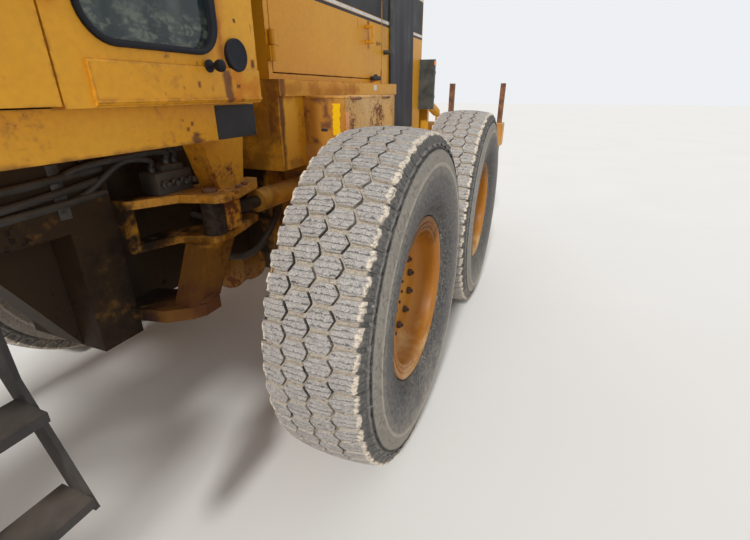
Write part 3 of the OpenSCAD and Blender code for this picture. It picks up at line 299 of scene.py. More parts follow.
class Tree:
    """Adds nodes to one tree. A socket is given as another node's output or as a plain value."""

    def __init__(self, tree):
        self.tree = tree

    def node(self, kind, inputs=None, **settings):
        made = self.tree.nodes.new(kind)
        for key, value in settings.items():
            setattr(made, key, value)
        self.feed(made, inputs or {})
        return made

    def feed(self, node, inputs):
        """Gives a node's inputs their sockets or values."""
        for key, value in inputs.items():
            self.put(node.inputs[key], value)

    def put(self, socket, value):
        if isinstance(value, bpy.types.NodeSocket):
            self.tree.links.new(value, socket)
        elif hasattr(value, "__len__") and len(value) == 3 and socket.type == "RGBA":
            socket.default_value = (*value, 1)
        else:
            socket.default_value = value

    def noise(self, vector, scale, detail=4.0, roughness=0.55):
        return self.node("ShaderNodeTexNoise", {"Vector": vector, "Scale": scale, "Detail": detail,
                                                "Roughness": roughness}).outputs[0]

    def math(self, operation, a, b=0.0, clamp=False):
        return self.node("ShaderNodeMath", {0: a, 1: b}, operation=operation, use_clamp=clamp).outputs[0]

    def plus(self, a, b, clamp=False):
        return self.math("ADD", a, b, clamp)

    def minus(self, a, b):
        return self.math("SUBTRACT", a, b)

    def times(self, a, b, clamp=False):
        return self.math("MULTIPLY", a, b, clamp)

    def most(self, a, b):
        return self.math("MAXIMUM", a, b)

    def vector(self, operation, a, b=(0, 0, 0)):
        return self.node("ShaderNodeVectorMath", {0: a, 1: b}, operation=operation).outputs

    def xyz(self, vector):
        """The three parts of a vector."""
        return self.node("ShaderNodeSeparateXYZ", {0: vector}).outputs

    def normal(self):
        """The surface's shading normal."""
        return self.node("ShaderNodeNewGeometry").outputs["Normal"]

    def span(self, value, low, high, to_low=0.0, to_high=1.0):
        """Smooth step of a value from low..high to to_low..to_high."""
        return self.node("ShaderNodeMapRange", {"Value": value, "From Min": low, "From Max": high,
                                                "To Min": to_low,
                                                "To Max": to_high},
                         interpolation_type="SMOOTHSTEP").outputs[0]

    def mix(self, factor, a, b):
        return self.node("ShaderNodeMix", {0: factor, 6: a, 7: b}, data_type="RGBA").outputs[2]

    def stretch(self, vector, scale):
        return self.node("ShaderNodeMapping", {"Vector": vector, "Scale": scale}).outputs[0]

    def attribute(self, name):
        return self.node("ShaderNodeAttribute", attribute_name=name, attribute_type="GEOMETRY").outputs["Fac"]

    def group(self, group, **inputs):
        named = {key.replace("_", " "): value for key, value in inputs.items()}
        made = self.node("ShaderNodeGroup", node_tree=group)
        self.feed(made, named)
        return made.outputs


def new_group(name, outputs=("Mask",), **inputs):
    """An empty shader group. Its inputs are a vector and those given with their defaults, where None makes
    one more vector and a tuple makes a colour; returns the group, its tree helper, inputs and outputs."""
    group = bpy.data.node_groups.new(name, "ShaderNodeTree")
    for label, default in {"Vector": None, **inputs}.items():
        kind = "Vector" if default is None else "Color" if isinstance(default, tuple) else "Float"
        made = group.interface.new_socket(name=label.replace("_", " "), in_out="INPUT",
                                          socket_type="NodeSocket" + kind)
        if default is not None:
            made.default_value = default
    for label in outputs:
        kind = "Color" if label == "Colour" else "Float"
        group.interface.new_socket(name=label, in_out="OUTPUT", socket_type="NodeSocket" + kind)
    tree = Tree(group)
    return group, tree, tree.node("NodeGroupInput").outputs, tree.node("NodeGroupOutput").inputs


def rust_group():
    """Rust: patches where coarse and fine noise add up past a limit, and a stained halo round them."""
    group, t, i, o = new_group("Rust", ("Mask", "Halo"), Amount=0.5, Scale=3.0)
    coarse = t.noise(i["Vector"], i["Scale"], 3, 0.6)
    fine = t.noise(i["Vector"], t.times(i["Scale"], 13.0), 5, 0.65)
    total = t.plus(t.times(coarse, 0.55), t.times(fine, 0.45))
    limit = t.minus(0.735, t.times(i["Amount"], 0.21))
    t.put(o["Mask"], t.span(t.minus(total, limit), 0.0, 0.035))
    t.put(o["Halo"], t.span(t.minus(total, limit), -0.07, 0.02))
    return group


def runs_group():
    """Runs: noise squeezed across and stretched down, so it shows as streaks below the rust."""
    group, t, i, o = new_group("Runs", Amount=0.5)
    fine = t.noise(t.stretch(i["Vector"], (34.0, 34.0, 1.3)), 1.0, 4, 0.6)
    broad = t.noise(t.stretch(i["Vector"], (3.0, 3.0, 1.1)), 1.0, 2, 0.5)
    both = t.plus(t.times(fine, 0.6), t.times(broad, 0.4))
    limit = t.minus(0.66, t.times(i["Amount"], 0.15))
    t.put(o["Mask"], t.span(t.minus(both, limit), 0.0, 0.09))
    return group


def spots_group():
    """Spots: in some cells of a Voronoi pattern, the ragged disc nearer the cell's point than a small
    radius that differs from cell to cell."""
    group, t, i, o = new_group("Rust spots", Amount=0.5)
    ragged = t.noise(i["Vector"], 60.0, 4, 0.7)
    cells = t.node("ShaderNodeTexVoronoi", {"Vector": i["Vector"], "Scale": 7.5}).outputs
    pick = t.node("ShaderNodeSeparateColor", {0: cells["Color"]}).outputs
    radius = t.times(t.times(pick[1], pick[1]), 0.10)
    radius = t.times(radius, t.span(pick[0], 0.75, 0.55, 0.0, 1.0))
    reach = t.plus(cells["Distance"], t.span(ragged, 0.3, 0.7, 0.0, 0.045))
    edge = t.minus(t.times(radius, t.plus(0.6, i["Amount"])), reach)
    t.put(o["Mask"], t.span(edge, -0.004, 0.008))
    return group


def place_group():
    """Place: one inside an upright box given by its middle and half sizes, fading out over its soft edge."""
    group, t, i, o = new_group("Place", Middle=None, Half=None, Soft=0.02)
    far = t.vector("ABSOLUTE", t.vector("SUBTRACT", i["Vector"], i["Middle"])["Vector"])["Vector"]
    part = t.xyz(t.vector("SUBTRACT", far, i["Half"])["Vector"])
    worst = t.most(part[0], t.most(part[1], part[2]))
    wobble = t.noise(i["Vector"], 9.0, 5, 0.65)
    ragged = t.plus(worst, t.times(i["Soft"], t.span(wobble, 0.3, 0.7, -1.0, 1.0)))
    share_out = t.math("DIVIDE", ragged, i["Soft"])
    t.put(o["Mask"], t.span(share_out, -1.0, 1.0, 1.0, 0.0))
    return group


def dust_group():
    """Dust: more on faces that look up and near the ground, broken by noise."""
    group, t, i, o = new_group("Dust", Amount=0.5, Top=1.4)
    up = t.xyz(t.normal())[2]
    height = t.xyz(i["Vector"])[2]
    low = t.node("ShaderNodeMapRange", {"Value": height, "From Min": 0.0, "From Max": i["Top"],
                                        "To Min": 0.75, "To Max": 0.0}).outputs[0]
    patches = t.noise(i["Vector"], 5.0, 5, 0.65)
    total = t.plus(t.times(t.most(up, 0.0), 0.55), low)
    total = t.times(total, t.span(patches, 0.25, 0.75, 0.35, 1.25))
    t.put(o["Mask"], t.times(total, i["Amount"], clamp=True))
    return group


def wear_group():
    """Edge wear: how far the normal, averaged over a small radius, turns from the face's own."""
    group, t, i, o = new_group("Edge wear", Radius=0.012)
    soft = t.node("ShaderNodeBevel", {"Radius": i["Radius"]}, samples=4).outputs[0]
    dot = t.vector("DOT_PRODUCT", soft, t.normal())["Value"]
    broken = t.noise(i["Vector"], 30.0, 4, 0.7)
    edge = t.times(t.minus(1.0, dot), 4.0, clamp=True)
    t.put(o["Mask"], t.times(edge, t.span(broken, 0.42, 0.62), clamp=True))
    return group


def painted_group(groups):
    """Painted steel: paint that pales in patches, with dust, runs, rust and worn edges over it."""
    group, t, i, o = new_group(
        "Painted steel", ("Colour", "Roughness", "Height"), Paint=(0.6, 0.3, 0.04, 1),
        Faded=(0.7, 0.43, 0.12, 1),
        Rust=(0.11, 0.035, 0.012, 1), Rust_amount=0.5, Run_amount=0.5, Dust_amount=0.5, Scale=3.0)
    broad = t.noise(i["Vector"], 1.7, 4, 0.6)
    fine = t.noise(i["Vector"], 55.0, 3, 0.6)
    colour = t.mix(t.span(broad, 0.32, 0.72), i["Paint"], i["Faded"])
    colour = t.mix(t.span(fine, 0.3, 0.75, 0.0, 0.16), colour, (0.30, 0.14, 0.02))
    rust = t.group(groups["rust"], Vector=i["Vector"], Amount=i["Rust amount"], Scale=i["Scale"])
    runs = t.group(groups["runs"], Vector=i["Vector"], Amount=i["Run amount"])["Mask"]
    dust = t.group(groups["dust"], Vector=i["Vector"], Amount=i["Dust amount"])["Mask"]
    wear = t.group(groups["wear"], Vector=i["Vector"])["Mask"]
    colour = t.mix(t.times(runs, 0.55), colour, (0.24, 0.085, 0.02))
    colour = t.mix(t.times(rust["Halo"], 0.5), colour, (0.33, 0.12, 0.025))
    colour = t.mix(dust, colour, (0.50, 0.36, 0.21))
    spots = t.group(groups["spots"], Vector=i["Vector"], Amount=i["Rust amount"])["Mask"]
    bare = t.most(t.most(rust["Mask"], spots), t.times(wear, 0.75))
    grain = t.noise(i["Vector"], 240.0, 2, 0.6)
    rusty = t.mix(t.span(grain, 0.3, 0.7), i["Rust"], (0.26, 0.095, 0.03))
    t.put(o["Colour"], t.mix(bare, colour, rusty))
    rough = t.plus(t.span(broad, 0.3, 0.7, 0.38, 0.5), t.times(dust, 0.35))
    t.put(o["Roughness"], t.plus(rough, t.times(bare, 0.4), clamp=True))
    bump = t.minus(t.times(grain, t.plus(0.12, bare)), t.times(bare, 0.5))
    t.put(o["Height"], t.plus(bump, t.times(fine, 0.25)))
    return group


def new_material(name):
    """An empty material with its output; returns it, its tree helper, a Principled shader and the place
    of the shaded point in the object's frame."""
    material = bpy.data.materials.new(name)
    material.use_nodes = True
    material.node_tree.nodes.clear()
    tree = Tree(material.node_tree)
    shader = tree.node("ShaderNodeBsdfPrincipled")
    tree.node("ShaderNodeOutputMaterial", {"Surface": shader.outputs[0]})
    return material, tree, shader, tree.node("ShaderNodeTexCoord").outputs["Object"]


def bump(tree, shader, height, strength=0.5, distance=0.002):
    """Height into the shader's normal."""
    tree.put(shader.inputs["Normal"], tree.node("ShaderNodeBump", {"Height": height, "Strength": strength,
                                                                   "Distance": distance}).outputs[0])


def painted(name, groups, paint, faded, rust, amounts, scale=3.0, coat=0.05, stains_and_shading=()):
    """Painted steel from the shared group; amounts are of rust, runs and dust. A stain or a patch of painted
    shade or light is a colour, its strength, soft edge, middle and half sizes; y is measured from the
    machine's middle."""
    material, t, s, where = new_material(name)
    out = t.group(groups["painted"], Vector=where, Paint=paint, Faded=faded, Rust=rust,
                  Rust_amount=amounts[0], Run_amount=amounts[1], Dust_amount=amounts[2], Scale=scale)
    colour, rough = out["Colour"], out["Roughness"]
    if stains_and_shading:
        x, y, z = t.xyz(where)
        folded = t.node("ShaderNodeCombineXYZ", {0: x, 1: t.math("ABSOLUTE", y), 2: z}).outputs[0]
    for tone, strength, soft, middle, half in stains_and_shading:
        mask = t.group(groups["place"], Vector=folded, Middle=middle, Half=half, Soft=soft)["Mask"]
        colour = t.mix(t.times(mask, strength), colour, tone)
        rough = t.plus(rough, t.times(mask, 0.25), clamp=True)
    t.feed(s, {"Base Color": colour, "Roughness": rough, "Specular IOR Level": 0.25, "Coat Weight": coat,
               "Coat Roughness": 0.3})
    bump(t, s, out["Height"], 0.45, 0.0015)
    return material


def wall_stains_and_shading(y, *stains_and_shading):
    """Stains and patches of painted shade or light on a side wall at y; each is a colour, strength, soft
    edge, x, z and half sizes along and up.
    """
    return [(tone, strength, soft, (x, y, z), (w, 0.05, h)) for tone, strength, soft, x, z, w, h in stains_and_shading]


def mottled(name, groups, dark, light, roughness, scale=20.0, dust=0.3, metallic=0.0, grain=90.0, height=0.4,
            specular=0.5):
    """Plain finish of two tones mixed by noise, with dust over it and a fine grain."""
    material, t, s, where = new_material(name)
    tone = t.noise(where, scale, 5, 0.6)
    fine = t.noise(where, grain, 3, 0.6)
    mask = t.group(groups["dust"], Vector=where, Amount=dust)["Mask"]
    colour = t.mix(t.span(tone, 0.3, 0.7), dark, light)
    rough = t.plus(t.span(tone, 0.3, 0.7, *roughness), t.times(mask, 0.4), clamp=True)
    t.feed(s, {"Base Color": t.mix(mask, colour, (0.42, 0.33, 0.23)), "Roughness": rough,
               "Metallic": metallic, "Specular IOR Level": specular})
    bump(t, s, fine, height, 0.001)
    return material


SIDE_TONES = [
    (0.345, (0.120, 0.112, 0.100)), (0.375, (0.085, 0.082, 0.080)), (0.440, (0.135, 0.129, 0.126)),
    (0.498, (0.185, 0.177, 0.168)), (0.507, (0.230, 0.212, 0.189)), (0.537, (0.293, 0.267, 0.232)),
    (0.542, (0.506, 0.451, 0.374)), (0.550, (0.506, 0.451, 0.374)), (0.556, (0.305, 0.276, 0.237)),
    (0.598, (0.333, 0.301, 0.255)), (0.602, (0.039, 0.038, 0.037)), (0.609, (0.039, 0.038, 0.037)),
    (0.613, (0.265, 0.255, 0.239)), (0.622, (0.230, 0.222, 0.209)), (0.626, (0.098, 0.094, 0.091)),
    (0.650, (0.127, 0.122, 0.115))]


def tyre_material(groups, dark, dust):
    """Worn rubber. The radius attribute sets the side's rings; face and lip tell block tops, grooves and
    the pale outer edge apart; sipes are waves along each block's own length, bent by noise."""
    material, t, s, where = new_material("Worn rubber")
    radius, face, lip, along = (t.attribute(n) for n in ("radius", "face", "lip", "along"))
    coarse, mid = t.noise(where, 9.0, 4, 0.6), t.noise(where, 75.0, 4, 0.7)
    fine = t.noise(where, 330.0, 3, 0.75)
    low, high = SIDE_TONES[0][0], SIDE_TONES[-1][0]
    wavy = t.plus(radius, t.span(mid, 0.2, 0.8, -0.0012, 0.0012))
    rings = t.node("ShaderNodeValToRGB", {"Fac": t.math("DIVIDE", t.minus(wavy, low), high - low)})
    stops = rings.color_ramp.elements
    for r, tone in SIDE_TONES[1:-1]:
        stops.new((r - low) / (high - low)).color = (*tone, 1)
    stops[0].color, stops[-1].color = (*SIDE_TONES[0][1], 1), (*SIDE_TONES[-1][1], 1)
    side = t.mix(t.times(t.span(mid, 0.4, 0.8), 0.4), rings.outputs[0], tuple(0.7 * v for v in dust))
    side = t.mix(t.span(fine, 0.3, 0.75, 0.0, 0.35), side, (0.05, 0.05, 0.05))
    # Block tops: rough grain, thin sipes and small pits
    top = t.mix(t.span(mid, 0.3, 0.7), tuple(0.72 * v for v in dark), tuple(1.2 * v for v in dark))
    top = t.mix(t.span(fine, 0.5, 0.66, 0.0, 0.8), top, (0.68, 0.635, 0.58))
    top = t.mix(t.span(fine, 0.36, 0.46, 0.7, 0.0), top, (0.075, 0.07, 0.065))
    wave = t.plus(t.times(along, 52.0), t.times(mid, 1.3))
    sipe = t.math("ABSOLUTE", t.minus(t.math("FRACT", wave), 0.5))
    sipe = t.times(t.span(sipe, 0.02, 0.09, 1.0, 0.0), t.span(coarse, 0.30, 0.55, 0.35, 1.0))
    mark = t.most(t.times(sipe, 0.6), t.span(mid, 0.27, 0.33, 0.85, 0.0))
    top = t.mix(mark, top, (0.035, 0.033, 0.03))
    # Grooves: dried mud, with painted shade where a wall looks down or away from the machine
    groove = t.mix(t.span(fine, 0.3, 0.7), tuple(0.6 * v for v in dust), dust)
    groove = t.mix(t.span(mid, 0.5, 0.68, 0.0, 0.75), groove, (0.12, 0.11, 0.095))
    facing = t.xyz(t.normal())
    outward = t.times(facing[1], t.math("SIGN", t.xyz(where)[1]))
    wall_shade = t.most(t.span(facing[2], -0.93, -0.72, 0.9, 0.0), t.span(outward, 0.35, 0.6, 0.0, 0.95))
    wall_shade = t.times(wall_shade, t.span(coarse, 0.35, 0.6, 0.55, 1.0))
    groove = t.mix(wall_shade, groove, (0.03, 0.028, 0.026))
    tread = t.mix(t.span(t.plus(face, t.times(mid, 0.3)), 0.55, 0.9), groove, top)
    edge = t.plus(lip, t.span(coarse, 0.3, 0.7, -0.18, 0.08))
    edge = t.plus(edge, t.span(mid, 0.3, 0.7, -0.12, 0.08))
    tread = t.mix(t.times(t.span(edge, 0.66, 0.86), t.span(mid, 0.36, 0.56, 0.35, 1.0)), tread,
                  (0.80, 0.70, 0.56))
    colour = t.mix(t.span(radius, 0.6485, 0.6525), side, tread)
    chips = t.times(t.span(coarse, 0.58, 0.66), t.span(mid, 0.58, 0.7))
    colour = t.mix(t.times(chips, 0.6), colour, (0.62, 0.56, 0.47))
    height = t.xyz(where)[2]
    muddy = t.times(t.span(height, 0.0, 0.42, 0.6, 0.0), t.span(coarse, 0.3, 0.7))
    t.feed(s, {"Base Color": t.mix(muddy, colour, tuple(0.85 * v for v in dust)),
               "Roughness": t.span(mid, 0.3, 0.7, 0.78, 0.95), "Specular IOR Level": 0.25})
    relief = t.minus(t.plus(fine, mid), t.times(mark, 1.2))
    bump(t, s, relief, 1.0, 0.003)
    return material


def glass_material():
    """Cab glass: dark and greenish, paler in upright streaks, with a painted reflection in pale blotches
    along its lower part.
    """
    material, t, s, where = new_material("Streaked glass with painted reflection")
    height = t.xyz(where)[2]
    streaks = t.noise(t.stretch(where, (9.0, 9.0, 1.2)), 1.0, 4, 0.6)
    reflection_blotches = t.noise(t.stretch(where, (34.0, 34.0, 58.0)), 1.0, 5, 0.7)
    colour = t.mix(t.span(streaks, 0.42, 0.68), (0.055, 0.082, 0.088), (0.19, 0.235, 0.22))
    # Painted reflection: pale olive blotches along the lower part of the pane
    low = t.times(t.span(reflection_blotches, 0.46, 0.62), t.span(height, 1.62, 1.70, 1.0, 0.0))
    t.feed(s, {"Base Color": t.mix(t.times(low, 0.7), colour, (0.46, 0.50, 0.38)),
               "Roughness": t.span(reflection_blotches, 0.4, 0.7, 0.04, 0.25), "Transmission Weight": 0.65, "IOR": 1.45})
    return material


def reflector_material(name, colour):
    """A lamp's lens or a reflective strip: ribs from a fine wave under a glossy coat."""
    material, t, s, where = new_material(name)
    ribs = t.node("ShaderNodeTexWave", {"Vector": where, "Scale": 22.0, "Distortion": 0.4}).outputs["Fac"]
    ragged = t.noise(where, 60.0, 5, 0.7)
    worn = t.mix(t.span(ragged, 0.5, 0.75, 0.0, 0.5), colour, tuple(0.55 * v for v in colour))
    t.feed(s, {"Base Color": worn, "Roughness": t.span(ragged, 0.3, 0.7, 0.15, 0.35), "Coat Weight": 0.6})
    bump(t, s, ribs, 0.2, 0.001)
    return material


# Tones of the stains on paint, and of the painted shade under the cab
BROWN, TAN = (0.115, 0.040, 0.026), (0.36, 0.125, 0.022)
UNDER_CAB_SHADE, RUSTY = (0.012, 0.009, 0.008), (0.125, 0.034, 0.014)


def body_paints(groups, paint):
    """The ochre steel of the cab, tanks, platform, frame, hood and rod ends, each with its own stains; the
    tanks and frame also carry painted shade, and the tanks' side painted light.
    """
    M, amount = MATERIALS, paint.rust_amount
    ochre, faded, rust = tuple(paint.ochre), tuple(paint.faded), tuple(paint.rust)

    def ochre_steel(name, amounts, stains_and_shading=()):
        return painted(name, groups, ochre, faded, rust, amounts, stains_and_shading=stains_and_shading)

    worn = (amount * 0.8, amount * 0.9, 0.2)
    M["yellow_paint"] = ochre_steel("Ochre paint", worn)
    dots = [(-0.593, 1.469, 0.003, 0.004), (-0.658, 1.483, 0.004, 0.004), (-0.715, 1.491, 0.007, 0.010),
            (-0.766, 1.480, 0.002, 0.006), (-0.727, 1.546, 0.004, 0.005), (-0.981, 1.655, 0.003, 0.014),
            (-0.880, 1.488, 0.010, 0.006), (-0.974, 1.556, 0.010, 0.013)]
    M["cab_paint"] = ochre_steel("Cab paint", worn, wall_stains_and_shading(
        0.66,
        ((0.58, 0.175, 0.010), 0.8, 0.03, -0.920, 1.484, 0.058, 0.040),
        (BROWN, 0.85, 0.008, -0.833, 1.486, 0.015, 0.046),
        ((0.62, 0.24, 0.045), 0.65, 0.015, -0.836, 1.75, 0.016, 0.20),
        (TAN, 0.75, 0.012, -0.832, 1.86, 0.004, 0.31),
        *((RUSTY, 0.9, 0.004, *dot) for dot in dots)))
    M["tank_paint"] = ochre_steel("Tank paint", (amount * 0.6, amount, 0.3), [
        # Painted light brightens the tank's side and painted shade darkens its front face; the rest are
        # stains
        *wall_stains_and_shading(0.53, ((0.86, 0.44, 0.06), 0.65, 0.03, -1.37, 1.33, 0.06, 0.20)),
        ((0.22, 0.088, 0.006), 0.75, 0.002, (-1.286, 0.38, 1.33), (0.002, 0.16, 0.30)),
        *wall_stains_and_shading(0.53, (BROWN, 0.9, 0.010, -1.309, 1.34, 0.015, 0.19),
                     (TAN, 0.6, 0.03, -1.70, 1.480, 0.40, 0.016),
                     (BROWN, 0.5, 0.03, -1.40, 1.175, 0.06, 0.016))])
    M["platform_paint"] = ochre_steel("Platform paint", worn, wall_stains_and_shading(
        0.60,
        (RUSTY, 0.95, 0.006, -0.754, 1.354, 0.026, 0.003), (BROWN, 0.85, 0.008, -0.748, 1.334, 0.026, 0.010),
        (BROWN, 0.6, 0.008, 0.0, 1.329, 1.0, 0.003), (RUSTY, 0.9, 0.004, -0.706, 1.372, 0.003, 0.003),
        (RUSTY, 0.9, 0.004, -0.724, 1.386, 0.002, 0.002), (RUSTY, 0.9, 0.004, -0.691, 1.397, 0.001, 0.001)))
    M["frame_paint"] = ochre_steel("Frame paint", (amount * 1.5, amount * 1.3, 0.6), [
        # The first three are painted shade under the cab: the frame's sides darker low down, its middle near
        # black
        ((0.13, 0.052, 0.007), 0.85, 0.06, (-0.90, 0.42, 0.72), (0.30, 0.22, 0.24)),
        ((0.22, 0.092, 0.010), 0.6, 0.06, (-0.98, 0.42, 1.04), (0.30, 0.22, 0.06)),
        (UNDER_CAB_SHADE, 0.96, 0.05, (-0.45, 0.0, 0.95), (1.30, 0.275, 0.42)),
        (BROWN, 0.7, 0.05, (-0.85, 0.42, 0.71), (0.12, 0.12, 0.05))])
    # Rust that runs from the hood's handle, bracket and rear edge
    M["hood_paint"] = ochre_steel("Hood paint", (amount * 0.5, amount * 0.6, 0.15), wall_stains_and_shading(
        0.48,
        (RUSTY, 0.85, 0.006, -2.394, 1.850, 0.010, 0.012), (TAN, 0.75, 0.010, -2.392, 1.790, 0.012, 0.070),
        (RUSTY, 0.7, 0.005, -2.234, 1.830, 0.003, 0.028), (RUSTY, 0.75, 0.008, -2.560, 1.757, 0.035, 0.006),
        (TAN, 0.7, 0.010, -2.600, 1.560, 0.012, 0.050)))
    M["greasy_rod"] = ochre_steel("Rod end paint", (amount * 2, amount * 2, 0.3), [
        ((0.028, 0.022, 0.018), 0.95, 0.004, (-1.35, 0.42, 1.03), (0.29, 0.10, 0.10)),
        ((0.02, 0.019, 0.019), 0.95, 0.004, (-0.915, 0.42, 1.03), (0.045, 0.10, 0.10))])


def other_paints(groups, paint):
    """Painted steel in other colours: the box, orange pieces, rims and drum."""
    M, amount = MATERIALS, paint.rust_amount
    ochre, orange, rust = tuple(paint.ochre), tuple(paint.orange), tuple(paint.rust)
    spots = [(0.635, 1.402, 0.008, 0.030), (0.545, 1.392, 0.012, 0.007), (0.578, 1.262, 0.020, 0.016),
             (0.628, 1.328, 0.020, 0.010), (0.600, 1.441, 0.070, 0.004), (0.530, 1.320, 0.004, 0.090)]
    M["rusty_box"] = painted(
        "Speckled paint", groups, (0.70, 0.36, 0.06), (0.76, 0.47, 0.19), rust,
        (amount * 1.9, amount * 0.8, 0.2), 6.0, stains_and_shading=[
            # Painted shade darkens the box's front face; the spots after it are rust blotches
            ((0.42, 0.165, 0.010), 0.75, 0.003, (-1.4875, 0.63, 1.30), (0.004, 0.2, 0.3)),
            *((BROWN, 0.85, 0.014, (-1.4875, y, z), (0.02, w, h)) for y, z, w, h in spots)])
    M["orange_paint"] = painted("Orange paint", groups, orange, (0.72, 0.36, 0.07), rust,
                                (amount, amount * 0.8, 0.7), 5.0)
    M["rim_paint"] = painted("Rim paint", groups, orange, (0.49, 0.200, 0.008), rust,
                             (amount, amount * 0.5, 0.1), 6.0, 0.1, stains_and_shading=[
                                 ((0.60, 0.38, 0.17), 0.7, 0.05, (0.0, 1.4, 0.385), (9.0, 9.0, 0.030)),
                                 # Painted shade: the top of the rim darker; the stain above is pale dust at
                                 # its bottom
                                 ((0.10, 0.036, 0.004), 0.7, 0.07, (0.0, 1.4, 0.990), (9.0, 9.0, 0.090))])
    M["drum"] = painted("Oily paint", groups, tuple(0.4 * v for v in ochre), tuple(0.55 * v for v in ochre),
                        rust, (amount * 1.8, amount * 1.4, 0.3), 5.0)


def plain_finishes(groups, black):
    """Iron, black paint, rubber, plastic and other finishes of two tones."""
    # Name, dark and light tone, roughness, scale, dust, metallic, grain, height, specular
    for key, *values in (
            ("rusty_iron", "Rusty iron", (0.085, 0.03, 0.014), (0.30, 0.13, 0.055), (0.75, 0.95), 14.0, 0.4,
             0.0, 120.0, 0.8),
            ("grey_iron", "Oily iron", (0.020, 0.018, 0.017), (0.07, 0.062, 0.055), (0.45, 0.7), 6.0, 0.4),
            ("black_steel", "Black paint", black, (0.034, 0.032, 0.034), (0.45, 0.65), 8.0, 0.2, 0.0, 90.0,
             0.4, 0.3),
            ("lamp_case", "Lamp case", (0.022, 0.028, 0.024), (0.07, 0.072, 0.06), (0.5, 0.7), 12.0, 0.4),
            ("gasket", "Black rubber", (0.006, 0.007, 0.011), (0.014, 0.015, 0.021), (0.55, 0.75), 25.0, 0.06,
             0.0, 90.0, 0.4, 0.25),
            ("seat", "Dark plastic", (0.03, 0.03, 0.032), (0.055, 0.054, 0.052), (0.55, 0.75), 30.0, 0.3),
            ("curtain", "Curtain rubber", (0.020, 0.018, 0.024), (0.050, 0.046, 0.054), (0.5, 0.75), 5.0,
             0.12, 0.0, 160.0, 0.3, 0.3),
            ("exhaust", "Heated steel", (0.10, 0.05, 0.03), (0.26, 0.17, 0.12), (0.5, 0.8), 7.0, 0.2, 0.35),
            ("rod", "Polished rod", (0.55, 0.55, 0.55), (0.70, 0.69, 0.67), (0.12, 0.3), 30.0, 0.12, 0.9),
            ("dark_rust", "Dark rust", (0.020, 0.009, 0.005), (0.10, 0.040, 0.018), (0.7, 0.9), 40.0, 0.1,
             0.0, 200.0, 0.8),
            ("hose", "Hydraulic hose", (0.014, 0.014, 0.015), (0.05, 0.048, 0.046), (0.45, 0.7), 12.0, 0.3),
            ("fitting", "Dull fittings", (0.05, 0.048, 0.044), (0.14, 0.135, 0.125), (0.45, 0.65), 30.0, 0.2,
             0.5),
            ("white", "White tape", (0.60, 0.58, 0.54), (0.78, 0.77, 0.74), (0.4, 0.6), 30.0, 0.15),
            ("cloth", "Cushion cloth", (0.03, 0.031, 0.036), (0.07, 0.071, 0.078), (0.85, 0.95), 40.0, 0.15,
             0.0, 700.0, 0.8)):
        MATERIALS[key] = mottled(values[0], groups, *values[1:])


class GRADER_OT_finishes(bpy.types.Operator):
    """Makes the shared node groups and finishes, and gives each CAD node its own"""

    bl_idname = "grader.finishes"
    bl_label = "Finishes"

    def execute(self, context):
        paint, tyre = context.scene.grader_paint, context.scene.grader_tyre
        groups = {"rust": rust_group(), "runs": runs_group(), "dust": dust_group(), "wear": wear_group(),
                  "spots": spots_group(), "place": place_group()}
        groups["painted"] = painted_group(groups)
        body_paints(groups, paint)
        other_paints(groups, paint)
        plain_finishes(groups, tuple(paint.black))
        M = MATERIALS
        M["tyre"] = tyre_material(groups, tuple(tyre.rubber), tuple(tyre.dust))
        M["glass"] = glass_material()
        M["lens"] = reflector_material("Clear lens", (0.72, 0.72, 0.68))
        M["red_lens"] = reflector_material("Red lens", (0.45, 0.02, 0.012))
        M["yellow_strip"] = reflector_material("Yellow strip", (0.95, 0.56, 0.01))
        M["orange_strip"] = reflector_material("Orange strip", (0.85, 0.25, 0.01))
        for name, node in NODES.items():
            finish = M[FINISH_OF.get(name, SLOT_OF[name])]
            for s in node.material_slots:
                s.material = finish
        return {"FINISHED"}


# Tyres and rims


def crown_radius(across, tyre):
    """Radius of the worn tread: full radius less a drop that grows with the distance from the middle
    to the power 2.2."""
    return TYRE_RADIUS - tyre.crown_drop * (np.abs(across) / (tyre.tread_width / 2)) ** 2.2


SIDE_PROFILE = [(0.643, 0.158), (0.628, 0.1665), (0.614, 0.1738), (0.6100, 0.1766), (0.6082, 0.1750),
                (0.6050, 0.1752), (0.6030, 0.1788), (0.590, 0.1832), (0.572, 0.1878), (0.556, 0.1896),
                (0.5515, 0.1918), (0.5460, 0.1926), (0.5405, 0.1902), (0.522, 0.1912), (0.508, 0.1905),
                (0.503, 0.1878), (0.480, 0.1868), (0.450, 0.1845), (0.420, 0.1800), (0.392, 0.1715),
                (0.369, 0.1600), (0.3575, 0.1515), (0.3510, 0.1500), (0.3465, 0.1440), (0.3450, 0.1310),
                (0.3040, 0.1295)]


def block_outlines(tyre, pitch, half):
    """Outlines of one pitch's four blocks, 16 points each, as (centre across, offset, points, outer mask):
    the middle ones are hexagons that nest, the outer ones run to the tread's edge with a step in it."""
    g, chamfer, step = tyre.groove_width, 0.015, 0.007
    h, c = (pitch - tyre.gap_width) / 2, pitch * 0.04
    spacing = 0.24 * tyre.tread_width
    a = (spacing - g + chamfer) / 2
    b = a - chamfer
    hexagon = np.array([(a, -c), (a, c), (b, h), (-b, h), (-a, c), (-a, -c), (-b, -h), (b, -h)])
    centre = spacing * 1.5
    e = half - centre
    shoulder = np.array([(e - step, -h), (e - step, -0.2 * h), (e, 0), (e, h), (-b, h), (-a, c), (-a, -c),
                         (-b, -h)])

    def split(corners, counts):
        nxt = np.roll(corners, -1, 0)
        return np.concatenate([p + (q - p) * np.arange(n)[:, None] / n for p, q,
                               n in zip(corners, nxt, counts)])

    middle, outer = split(hexagon, [2] * 8), split(shoulder, [2, 1, 2, 3, 2, 1, 2, 3])
    edge = np.arange(16) <= 5
    flipped = outer[::-1] * (-1, 1)
    none = np.zeros(16, bool)
    return [(-centre, 0.0, flipped, edge[::-1]), (-spacing / 2, 0.5, middle, none),
            (spacing / 2, 0.0, middle, none), (centre, 0.5, outer, edge)]


